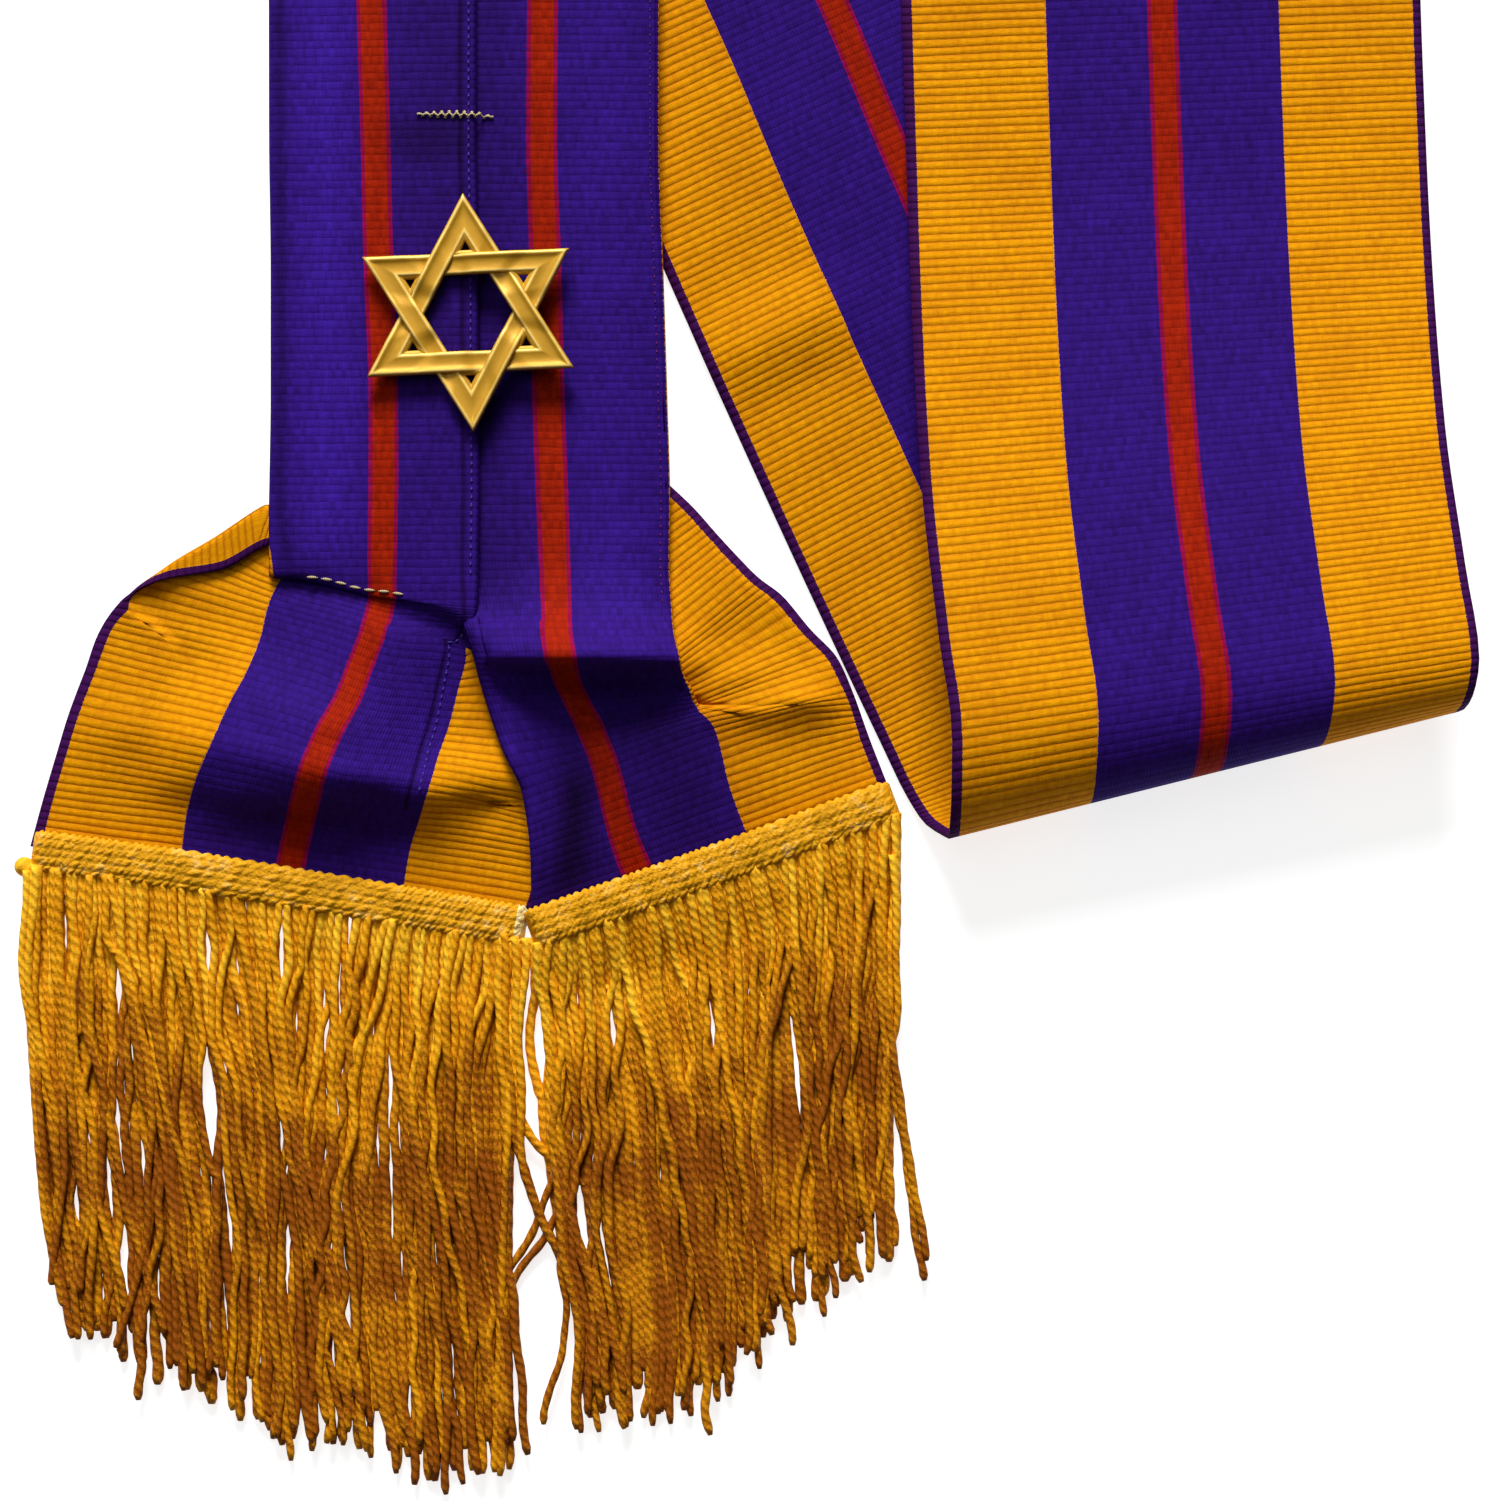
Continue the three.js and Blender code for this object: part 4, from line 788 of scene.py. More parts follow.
def cloth_piece(name, surface, across, along, wall, material):
    """A closed wall round a grid: its points moved along the normals by half the thickness to each side."""
    rows, columns = across.shape
    offset = face_normals(surface) * wall / 2
    ring = np.concatenate([surface + offset, (surface - offset)[:, ::-1]], axis=1)
    uv = np.stack([across, along], -1) / WIDTH
    ring_uv = np.concatenate([uv, uv[:, ::-1]], axis=1).reshape(-1, 2)
    size = 2 * columns
    j = np.arange(columns - 1)
    first = np.stack([j, size - 1 - j, size - 2 - j, j + 1], -1)[:, ::-1]
    last = first[:, ::-1] + (rows - 1) * size
    faces = np.concatenate([ring_faces(rows, size), first, last])
    return mesh_piece(name, to_part(ring.reshape(-1, 3)), faces.tolist(), ring_uv[faces.ravel()], material)


def tubes(paths, radius, sides, lobes=0.0, lead=1.0):
    """Rings round each path: at every point a circle spanned by the side and the upward direction there.
    Lobes swell it twice round, turning once in every lead. Returns points, faces with flat ends, and the uv
    of each face corner: turns round plus the path's number, and millimetres along."""
    count, rings, _ = paths.shape
    tangent = np.gradient(paths, axis=1)
    tangent /= np.linalg.norm(tangent, axis=2, keepdims=True)
    side = np.cross(tangent, (0.0, 0.0, 1.0))
    side /= np.maximum(np.linalg.norm(side, axis=2, keepdims=True), 1e-9)
    up = np.cross(side, tangent)
    steps = np.linalg.norm(np.diff(paths, axis=1), axis=2)
    marks = np.concatenate([np.zeros((count, 1)), np.cumsum(steps, axis=1)], axis=1)
    angle = np.arange(sides) / sides * 2 * math.pi
    swollen = 1 + lobes * np.cos(2 * (angle - 2 * math.pi * marks[..., None] / lead))
    circle = np.cos(angle)[:, None] * side[:, :, None] + np.sin(angle)[:, None] * up[:, :, None]
    points = paths[:, :, None] + circle * (radius[:, :, None] * swollen)[..., None]
    start = np.arange(count)[:, None, None] * rings * sides
    quads = (ring_faces(rings, sides) + start).reshape(-1, 4)
    caps = np.arange(count)[:, None] * rings * sides + np.arange(sides)
    faces = quads[:, ::-1].tolist() + caps.tolist() + (caps + (rings - 1) * sides)[:, ::-1].tolist()
    around = np.arange(sides)
    u = np.stack([around, around + 1, around + 1, around], -1) / sides * 0.999
    u = np.broadcast_to(u + np.arange(count)[:, None, None, None], (count, rings - 1, sides, 4))
    low, high = marks[:, :-1, None], marks[:, 1:, None]
    v = np.broadcast_to(np.stack([low, low, high, high], -1), (count, rings - 1, sides, 4))
    uv = np.stack([u, v], -1)[:, :, :, ::-1].reshape(-1, 2)
    ends = np.zeros((count * sides, 2))
    return points.reshape(-1, 3), faces, np.concatenate([uv, ends, ends])


# Materials


class Finish:
    """A new material with a Principled shader, its plain values set on its own sockets. Each method adds
    nodes and gives their result."""

    def __init__(self, name, **sockets):
        self.material = bpy.data.materials.new(name)
        self.material.use_nodes = True
        self.tree = self.material.node_tree
        self.shader = self.tree.nodes["Principled BSDF"]
        for key, value in sockets.items():
            self.shader.inputs[key.replace("_", " ")].default_value = value

    def node(self, kind, inputs=None, **settings):
        """A node with its settings, and values or links on its inputs."""
        made = self.tree.nodes.new(kind)
        for name, value in settings.items():
            setattr(made, name, value)
        for key, value in (inputs or {}).items():
            if isinstance(value, bpy.types.NodeSocket):
                self.tree.links.new(value, made.inputs[key])
            else:
                made.inputs[key].default_value = value
        return made

    def maths(self, operation, *values):
        return self.node("ShaderNodeMath", dict(enumerate(values)), operation=operation).outputs[0]

    def plus(self, a, b):
        return self.maths("ADD", a, b)

    def minus(self, a, b):
        return self.maths("SUBTRACT", a, b)

    def over(self, a, b):
        return self.maths("DIVIDE", a, b)

    def times(self, a, b, more=None):
        """a times b, and more added where it is given."""
        return self.maths("MULTIPLY", a, b) if more is None else self.maths("MULTIPLY_ADD", a, b, more)

    def clamped(self, value, start, end):
        """0 at start, 1 at end and straight between."""
        slope = 1 / (end - start)
        inputs = {0: value, 1: slope, 2: -start * slope}
        return self.node("ShaderNodeMath", inputs, operation="MULTIPLY_ADD", use_clamp=True).outputs[0]

    def band(self, away, half_width):
        """exp(-(away / half width)^2)"""
        share = self.over(away, half_width)
        return self.maths("EXPONENT", self.times(self.times(share, share), -1.0))

    def combined(self, x, y, z=0.0):
        return self.node("ShaderNodeCombineXYZ", {0: x, 1: y, 2: z}).outputs[0]

    def scaled(self, vector, factors):
        return self.node("ShaderNodeVectorMath", {0: vector, 1: factors}, operation="MULTIPLY").outputs[0]

    def noise(self, vector, scale, detail=2.0, roughness=0.5):
        inputs = {"Vector": vector, "Scale": scale, "Detail": detail, "Roughness": roughness}
        return self.node("ShaderNodeTexNoise", inputs).outputs["Fac"]

    def ramp(self, factor, stops, interpolation="LINEAR"):
        """A colour ramp's result, from places and linear colours."""
        made = self.node("ShaderNodeValToRGB", {"Fac": factor})
        elements = made.color_ramp.elements
        made.color_ramp.interpolation = interpolation
        while len(elements) > 1:
            elements.remove(elements[-1])
        elements[0].position = stops[0][0]
        elements[0].color = (*stops[0][1], 1)
        for position, colour in stops[1:]:
            elements.new(position).color = (*colour, 1)
        return made.outputs["Color"]

    def object_place(self):
        return self.node("ShaderNodeTexCoord").outputs["Object"]

    def surface_uv(self):
        """The uv map and its two parts."""
        uv = self.node("ShaderNodeUVMap", uv_map="surface").outputs["UV"]
        parts = self.node("ShaderNodeSeparateXYZ", {0: uv})
        return uv, parts.outputs["X"], parts.outputs["Y"]

    def finished(self, colour, height, relief):
        """The material with its colour, and its height as a bump of so many millimetres."""
        self.tree.links.new(colour, self.shader.inputs["Base Color"])
        made = self.node("ShaderNodeBump", {"Height": height, "Distance": relief * MM, "Strength": 1.0})
        self.tree.links.new(made.outputs["Normal"], self.shader.inputs["Normal"])
        return self.material


def ribbon_stripes(finish, uv, u, settings):
    """The woven stripes, as steps in u with slightly ragged edges."""
    gold, violet, red = settings.gold, settings.violet, settings.red
    selvedge, line = settings.selvedge, settings.line
    low, high = MIDDLE - STRIPE_HALF, MIDDLE + STRIPE_HALF
    stops = [
        (0.0, selvedge), (SELVEDGE, gold), (BORDER, violet), (low - LINE, line), (low + LINE, red),
        (high - LINE, line), (high + LINE, violet), (WIDTH - BORDER, gold), (WIDTH - SELVEDGE, selvedge),
    ]
    wander = finish.noise(finish.scaled(uv, (60.0, 60.0, 1.0)), 5.0)
    ragged = finish.times(wander, 2 * RAGGED, -RAGGED)
    return finish.ramp(finish.plus(u, ragged), [(at / WIDTH, tint) for at, tint in stops], "CONSTANT")


def with_painted_band(finish, painted_band, across, along, shade, height):
    """Tone and height with a band of painted light: a band round a line across and along the cloth, which
    fades at both ends, times a gain in tone, painted shade where it darkens and painted sheen where it
    brightens, and a depth for a pressed line."""
    first, last, half_width, change, depth, start, end = painted_band
    fade = min(2 * half_width, (end - start) / 3)
    way = finish.clamped(along, start, end)
    away = finish.minus(across, finish.times(way, last - first, first))
    band = finish.band(away, half_width)
    band = finish.times(band, finish.clamped(along, start, start + fade))
    band = finish.times(band, finish.clamped(along, end, end - fade))
    shade = finish.times(shade, finish.times(band, change, 1.0))
    if depth:
        height = finish.times(band, -depth, height)
    return shade, height


def grosgrain(name, settings, marks=()):
    """Ribbed ribbon: u is the distance across in ribbon widths, v the distance along. A rib's section is a
    parabola in v, deeper in the borders, and its groove is painted darker as shade; fine warp threads cross
    it, and short runs of thread differ a little in tone, most of all in the middle. Bands of painted shade and
    painted sheen go on top. Dark places, painted shade among them, turn redder."""
    finish = Finish(name, Roughness=0.75, Specular_IOR_Level=0.05)
    uv, u, v = finish.surface_uv()
    across, along = finish.times(u, WIDTH), finish.times(v, WIDTH)
    wander = finish.noise(finish.scaled(uv, (1.2, 9.0, 1.0)), 6.0)
    wobble = finish.times(wander, 2 * RIB_WOBBLE, -RIB_WOBBLE)
    phase = finish.over(finish.plus(along, wobble), settings.rib_pitch / MM)
    part = finish.times(finish.maths("FRACT", phase), 2.0, -1.0)
    rib = finish.minus(1.0, finish.times(part, part))
    from_middle = finish.maths("ABSOLUTE", finish.minus(across, MIDDLE))
    border = finish.maths("GREATER_THAN", from_middle, MIDDLE - BORDER)

    def by_border(middle, added):
        return finish.times(border, added, middle)

    warp = finish.maths("SINE", finish.times(across, 2 * math.pi / WARP_PITCH))
    warp = finish.times(warp, by_border(*WARP_HEIGHT))
    slub = finish.noise(finish.scaled(uv, (14.0, 60.0, 1.0)), 5.0)
    row = finish.times(finish.maths("FLOOR", phase), 7.3)
    run = finish.noise(finish.combined(finish.times(across, 0.9), row), 1.0, 1.0)
    patch = finish.noise(uv, 7.0, 3.0)
    raised = finish.times(rib, by_border(*RIB_HEIGHT))
    height = finish.plus(warp, finish.times(slub, 0.35, raised))
    # painted shade in the grooves between the ribs
    shade = finish.times(finish.minus(finish.maths("POWER", rib, 0.7), 0.75), by_border(*RIB_SHADE), 1.0)
    for tone, amount in ((patch, 0.36), (slub, 0.5)):
        shade = finish.times(shade, finish.times(tone, amount, 1 - amount / 2))
    speckle = finish.times(finish.minus(run, 0.5), by_border(*RUN_TONE))
    shade = finish.times(shade, finish.plus(speckle, 1.0))
    # creases and bands of painted shade and painted sheen
    for painted_band in marks:
        shade, height = with_painted_band(finish, painted_band, across, along, shade, height)
    # dark tone, painted shade among it, turns redder
    tint = finish.combined(finish.maths("POWER", shade, 0.8), finish.maths("POWER", shade, 1.25), shade)
    return finish.finished(finish.scaled(ribbon_stripes(finish, uv, u, settings), tint), height, RIB_RELIEF)


def twisted_cord(name, settings):
    """Two-ply cord: u is turns round plus the cord's number, v millimetres along. The plies are the cosine of
    twice the angle less the twist, and the grooves between them are painted darker as shade; each cord has its
    own tone, and fibres and worn patches vary it. Painted shade darkens the cords away from the heading."""
    finish = Finish(name, Roughness=0.65, Specular_IOR_Level=0.12)
    _, u, v = finish.surface_uv()
    turns = finish.minus(u, finish.over(v, settings.twist / MM))
    ply = finish.maths("COSINE", finish.times(turns, 4 * math.pi))
    number = finish.maths("FLOOR", u)
    own = finish.node("ShaderNodeTexWhiteNoise", {"W": number}, noise_dimensions="1D").outputs["Value"]
    at = finish.object_place()
    fibre = finish.noise(at, 2400.0, 2.0)
    patch = finish.noise(at, 90.0, 2.0)
    tone = finish.times(ply, 0.07, finish.times(fibre, 0.5, -0.02))
    tone = finish.times(own, 0.34, finish.times(patch, 0.8, finish.plus(tone, -0.34)))
    # painted shade: the cords darken away from the heading
    tone = finish.times(finish.clamped(v, *CORD_SHADE_FADE), 0.48, finish.plus(tone, -0.25))
    tint = finish.ramp(tone, [(0.12, settings.shadow), (0.52, settings.gold), (0.95, settings.light)])
    return finish.finished(tint, finish.times(fibre, 1.6, ply), 0.07)


def braid_material(name, settings, pale_from):
    """Woven gold braid: v is the share along it. Threads vary its tone, and its cut end is paler."""
    finish = Finish(name, Roughness=0.65, Specular_IOR_Level=0.12)
    _, _, v = finish.surface_uv()
    at = finish.object_place()
    fibre = finish.noise(at, 1900.0, 3.0)
    stitch = finish.noise(at, 520.0, 1.0)
    patch = finish.noise(at, 110.0, 2.0)
    tone = finish.times(fibre, 0.5, finish.times(stitch, 0.55, -0.12))
    tone = finish.times(patch, 0.4, finish.plus(tone, -0.16))
    tone = finish.times(finish.maths("GREATER_THAN", v, pale_from), 0.7, tone)
    dark = [c * 0.5 for c in settings.braid]
    return finish.finished(
        finish.ramp(tone, [(0.15, dark), (0.5, settings.braid), (0.95, settings.pale)]), fibre, 0.3
    )


def thread_material(name, colour):
    """Sewing thread: a fine twist along it, its grooves painted darker as shade."""
    finish = Finish(name, Roughness=0.6, Specular_IOR_Level=0.2)
    _, u, v = finish.surface_uv()
    turns = finish.plus(finish.over(v, 0.4), u)
    ply = finish.times(finish.maths("SINE", finish.times(turns, 2 * math.pi)), 0.5, 0.5)
    return finish.finished(finish.ramp(ply, [(0.0, [c * 0.6 for c in colour]), (1.0, colour)]), ply, 0.08)


def gilt_material(settings):
    """Gilt cast metal, satin and a little uneven: u is the distance in from a bar's outer edge in
    centimetres. Worn patches vary its tone and roughness, and the raised rims carry a painted highlight."""
    finish = Finish("gilt_metal", Metallic=0.3)
    _, u, _ = finish.surface_uv()
    at = finish.object_place()
    worn = finish.noise(at, 240.0, 4.0, 0.6)
    grain = finish.noise(at, 1500.0, 3.0)
    # random worn patches, and a painted highlight on each raised rim
    pale = finish.times(worn, 0.6, -0.3)
    for rim_highlight in STAR_RIM_HIGHLIGHTS:
        pale = finish.times(finish.band(finish.minus(u, rim_highlight / 10), 0.03), 0.8, pale)
    dark = [c * 0.85 for c in settings.gilt]
    tint = finish.ramp(pale, [(0.0, dark), (0.2, settings.gilt), (0.9, settings.rim_highlight)])
    rough = finish.times(worn, 0.3, settings.roughness - 0.12)
    finish.tree.links.new(rough, finish.shader.inputs["Roughness"])
    return finish.finished(tint, finish.times(grain, 0.4, worn), 0.05)


# Ribbon pieces


def cloth_sections():
    """The fine grids of the left end, the loop and the right end: surface, across and along."""
    rows, left_last, right_first = ribbon_rows()
    left = section(rows, 0, left_last, END_PITCH)
    loop = section(rows, left_last, right_first, LOOP_PITCH)
    right = section(rows, right_first, len(rows) - 1, END_PITCH)
    return {"left": pleated(*left), "loop": loop, "right": right}


def section(rows, first, last, pitch):
    """The grid between two of the table's rows. One more row on each side keeps the slopes there."""
    low, high = max(first - 1, 0), min(last + 1, len(rows) - 1)
    fine, along = fine_rows(rows[low : high + 1], pitch)
    counts, marks = row_steps(rows, pitch)
    start = counts[low] if first > low else 0
    end = len(fine) - (counts[high - 1] if high > last else 0)
    surface, across = ribbon_surface(fine)
    along = np.broadcast_to((along + marks[low])[start:end, None], across[start:end].shape)
    return swollen(surface[start:end]), across[start:end], along


def pleated(surface, across, along):
    """The left end's distances along, measured down each thread, so that the ribs stay even: from the strip
    down to the pleat's crest, where the measure fades into that of the fan, and along the flap at the left.
    In the fan the threads right of the stripe are measured in part too."""
    steps = np.linalg.norm(np.diff(surface, axis=0), axis=2)
    thread = np.sqrt(np.maximum(steps**2 - np.diff(across, axis=0) ** 2, 1e-6))
    own = np.concatenate([np.zeros((1, steps.shape[1])), np.cumsum(thread, axis=0)])
    foot = np.abs(along[:, 0] - FLAP_FOOT).argmin()
    flap = np.maximum((own - own[foot]) - (along - along[foot]), 0) * (along > FLAP_FOOT)
    column = np.arange(across.shape[1])
    fan = along + flap * np.clip((FLAP_TIP - column) / 2, 0, 1)
    fan = mix(fan, own, FAN_SHARE * smooth((across[:1] - FAN_FROM) / (FAN_FULL - FAN_FROM)))
    share = np.clip((along - (PLEAT_CREST - PLEAT_FADE)) / PLEAT_FADE, 0, 1)
    return surface, across, mix(fan, along[-1] - (own[-1] - own), share)


def swollen(surface):
    """Adds the swells: height times exp(-(a / length)^4 - (b / width)^2), with a along the crest and b
    across it. Cloth near the floor moves less."""
    x, y, z = np.moveaxis(surface, 2, 0)
    lift = np.zeros_like(z)
    for middle_x, middle_y, degrees, length, above, below, height in SWELLS:
        cos, sin = math.cos(math.radians(degrees)), math.sin(math.radians(degrees))
        a = (x - middle_x) * cos + (y - middle_y) * sin
        b = (y - middle_y) * cos - (x - middle_x) * sin
        width = np.where(b > 0, above, below)
        lift += height * np.exp(-((a / length) ** 4) - (b / width) ** 2)
    return np.stack([x, y, z + lift * np.clip(z / SWELL_CLEAR, 0, 1)], -1)


def cloth_top(sections, x, y):
    """Height of the uppermost cloth near places on the plan."""
    cloth = np.concatenate([surface.reshape(-1, 3) for surface, _, _ in sections.values()])
    near = np.hypot(cloth[:, 0] - x[:, None], cloth[:, 1] - y[:, None]) < TACK_REACH
    return np.where(near, cloth[:, 2], 0.0).max(axis=1)


def thread_line(grid, first, last, start, end):
    """Points a stitch's pitch apart along the cloth between two distances along, at distances across that
    change evenly from the first to the last."""
    surface, across, along = grid
    middle = mix(first, last, np.clip((along[:, :1] - start) / (end - start), 0, 1))
    column = np.clip((across <= middle).sum(axis=1) - 1, 0, across.shape[1] - 2)
    row = np.arange(len(across))
    low, high = across[row, column], across[row, column + 1]
    share = ((middle[:, 0] - low) / np.maximum(high - low, 1e-6))[:, None]
    points = mix(surface[row, column], surface[row, column + 1], share)
    marks = mix(along[row, column], along[row, column + 1], share[:, 0])
    points = points[(marks > start) & (marks < end)]
    length = np.concatenate([[0.0], np.cumsum(np.linalg.norm(np.diff(points, axis=0), axis=1))])
    at = np.arange(STITCH_PITCH / 2, length[-1] - STITCH_PITCH, STITCH_PITCH)
    return np.stack([np.interp(at, length, points[:, k]) for k in range(3)], -1)


def stitches(starts, ways, radius):
    """A short thread with rounded ends from each start along its way: paths and radii for tubes."""
    share = np.linspace(0, 1, len(STITCH_ENDS))
    paths = starts[:, None] + ways[:, None] * share[None, :, None]
    return paths, np.broadcast_to(radius * STITCH_ENDS, paths.shape[:2])


def stitched_row(line, wall, radius, share):
    """Stitches along a line of points, each over a share of the way to the next point."""
    raised = line + np.array([0.0, 0.0, wall / 2 + radius * 0.4])
    return stitches(raised[:-1], np.diff(raised, axis=0) * share, radius)


def dress(piece, slot, *nodes):
    """Says what a piece rides on and which nodes it stands for. The slot is not used."""
    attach(piece, "root")
    if nodes:
        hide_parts(*nodes)


class SASH_OT_ribbon(bpy.types.Operator):
    """Makes the ribbon's two folded ends and its loop"""

    bl_idname = "sash.ribbon"
    bl_label = "Ribbon"

    def execute(self, context):
        settings = context.scene.sash_ribbon
        # each section's creases and bands of painted shade and painted sheen
        marks = {"left": LEFT_CREASES_AND_PAINTED_LIGHT, "loop": (), "right": RIGHT_CREASES_AND_PAINTED_LIGHT}
        for name, (surface, across, along) in cloth_sections().items():
            material = grosgrain("grosgrain_" + name, settings, marks[name])
            piece = cloth_piece("ribbon_" + name, surface, across, along, settings.wall / MM, material)
            dress(piece, "grosgrain", "ribbon")
        return {"FINISHED"}


class SASH_OT_stitching(bpy.types.Operator):
    """Makes the rows of stitches on the strips and the two tacks"""

    bl_idname = "sash.stitching"
    bl_label = "Stitching"

    def execute(self, context):
        settings = context.scene.sash_ribbon
        sections = cloth_sections()
        wall = settings.wall / MM
        threads = []
        for name, section_name, first, last, start, end, radius, share, colour in STITCH_ROWS:
            line = thread_line(sections[section_name], first, last, start, end)
            threads.append((name, stitched_row(line, wall, radius, share), colour))
        threads.append(("upper_tack", self.zigzag(sections, wall), "tack"))
        threads.append(("lower_tack", self.dashes(sections, wall), "tack"))
        for name, (paths, radius), colour in threads:
            points, faces, uv = tubes(paths, radius, THREAD_SIDES)
            material = thread_material(name, getattr(settings, colour))
            dress(mesh_piece(name, to_part(points), faces, uv, material), "grosgrain")
        return {"FINISHED"}

    @staticmethod
    def zigzag(sections, wall):
        """Thread of the upper tack: a wave across the seam, whose height is a half sine along it."""
        (x0, y0), (x1, y1) = UPPER_TACK
        share = np.linspace(0, 1, TACK_LOOPS * 12 + 1)
        phase = share * TACK_LOOPS * 2 * math.pi
        height = TACK_HEIGHT / 2 * (0.25 + 0.75 * np.sin(math.pi * share))
        x = mix(x0, x1, share) + 0.3 * np.sin(2 * phase)
        y = mix(y0, y1, share) + height * np.sin(phase)
        z = cloth_top(sections, x, y) + wall / 2 + 0.25 + 0.2 * np.cos(2 * phase)
        return np.stack([x, y, z], -1)[None], np.full((1, len(share)), TACK_RADIUS)

    @staticmethod
    def dashes(sections, wall):
        """Stitches of the lower tack, one after the other along the pleat."""
        (x0, y0), (x1, y1) = LOWER_TACK
        share = np.linspace(0, 1, TACK_DASHES * 2 + 1)
        x = mix(x0, x1, share)
        y = mix(y0, y1, share) + 0.25 * np.sin(9 * share)
        z = cloth_top(sections, x, y) + wall / 2 + 0.2
        points = np.stack([x, y, z], -1)
        ways = (points[1::2] - points[:-1:2]) * (1.45, 1.0, 1.0)
        return stitches(points[:-1:2], ways, DASH_RADIUS)


# Fringe pieces


def along_heading(heading, shares):
    """Place, seat and direction at shares of a heading's length."""
    table = np.array(heading)
    at = np.linspace(0, 1, len(table))
    x, y, seat = (np.interp(shares, at, table[:, k]) for k in range(3))
    way = np.stack([np.interp(shares + d, at, table[:, k]) for d in (-0.04, 0.04) for k in (0, 1)])
    way = np.stack([way[2] - way[0], way[3] - way[1]], -1)
    way /= np.linalg.norm(way, axis=1, keepdims=True)
    return x, y, seat, way


def braid_relief(s, share):
    """Height of the braid's top over its seat, and how far its edge moves out, at millimetres along and
    shares of the half width across. Slanting oval stitches in rows cover a dome. A stitch's height is a half
    sine along the braid times a half sine across its row; every other row is half a stitch further on. The
    lowest row stands out less, because the cords leave through it."""
    level = np.clip((share + 1) / 2, 0, 0.9999) * BRAID_ROWS
    row = np.floor(level)
    within = level - row
    drift = 0.3 * np.sin(s * 0.7 + row * 2.0) * np.sin(s * 0.19 + row)
    phase = s / BRAID_STITCH + row * 0.5 - (within - 0.5) * 0.8 + drift
    cell = np.floor(phase) * 3.7 + row * 11.3
    own = 0.72 + 0.28 * np.sin(cell * 12.9898)
    swell = np.abs(np.sin(math.pi * phase))
    oval = swell**0.6 * np.abs(np.sin(math.pi * within)) ** 0.6 * own
    sunk = np.where(row == 0, LOWEST_ROW_DEPTH, ROW_DEPTH) * (1 - oval)
    uneven = 0.14 * np.sin(s * 0.61 + row) * np.sin(s * 0.23)
    dome = (1 - np.abs(share) ** 4) ** 0.25
    edge = (0.45 * swell - 0.25) * np.abs(share) ** 5
    return (HEADING_TOP - sunk - uneven) * dome, edge * np.sign(share)


def braid_piece(name, heading, material):
    """The woven heading: a strip with rounded ends, the braid's relief on top and a flat underside, which is
    low where the cords leave."""
    shares = np.linspace(0, 1, BRAID_RINGS)
    x, y, seat, way = along_heading(heading, shares)
    length = np.linalg.norm(np.array(heading[-1][:2]) - np.array(heading[0][:2]))
    side = HEADING_HEIGHT / 2
    across = np.cos(np.linspace(0, math.pi, BRAID_TOP))[None]
    height, edge = braid_relief(shares[:, None] * length, across)
    under = np.linspace(-side, side, BRAID_BASE)[None]
    under_z = np.where(under < -1.0, HEADING_FOOT, seat[:, None] + 0.05)
    out = np.concatenate([across * side + edge, np.broadcast_to(under * 0.95, under_z.shape)], axis=1)
    z = np.concatenate([seat[:, None] + height, under_z], axis=1)
    end = np.minimum(shares, 1 - shares)[:, None] * length
    rounded = np.sqrt(np.clip(1 - (1 - np.clip(end / HEADING_ROUND, 0, 1)) ** 2, 0.04, 1))
    out = out * mix(0.7, 1.0, rounded)
    z = mix(seat[:, None] * 0.5 + HEADING_FOOT, z, rounded)
    up = np.stack([-way[:, 1], way[:, 0]], -1)
    points = np.stack([x[:, None] + up[:, :1] * out, y[:, None] + up[:, 1:] * out, z], -1)
    size = BRAID_TOP + BRAID_BASE
    quads = ring_faces(BRAID_RINGS, size)[:, ::-1]
    caps = [list(range(size)), list(range((BRAID_RINGS - 1) * size, BRAID_RINGS * size))[::-1]]
    uv = np.stack([np.tile(np.arange(size) / size, BRAID_RINGS), np.repeat(shares, size)], -1)
    corner = np.concatenate([quads.ravel(), *caps])
    return mesh_piece(name, to_part(points.reshape(-1, 3)), quads.tolist() + caps, uv[corner], material)


def parted(x, y, gaps):
    """Pushes cords off the gaps. A cord passes a gap on the side where it lies level with its middle, and its
    distance d from that middle becomes (d + sqrt(d^2 + 4 w^2)) / 2, with w the gap's half width there."""
    row = np.arange(len(x))
    for gap_x, gap_y, half_width, half_length in gaps:
        level = np.abs(y - gap_y).argmin(axis=1)
        side = np.where(x[row, level] < gap_x, -1.0, 1.0)[:, None]
        open_share = np.clip(1 - ((y - gap_y) / half_length) ** 2, 0, 1)
        away = (x - gap_x) * side
        pushed = (away + np.sqrt(away**2 + 4 * (half_width * open_share**1.3) ** 2)) / 2
        x = gap_x + side * mix(away, pushed, smooth(open_share * 3))
    return x


def lock_numbers(count, size, random):
    """Which lock each cord belongs to, and the share of each cord in its lock's mean."""
    lock = np.floor(np.arange(count) / size + random.uniform(0, 1)).astype(int)
    together = lock[:, None] == lock[None]
    return lock, together / together.sum(axis=1, keepdims=True)


def through_three(root, middle, end, t):
    """x and y of the parabola through three places, at t = 0, 1/2 and 1."""
    weights = ((2 * t - 1) * (t - 1), 4 * t * (1 - t), t * (2 * t - 1))
    return [sum(w * spot[:, k, None] for w, spot in zip(weights, (root, middle, end))) for k in (0, 1)]


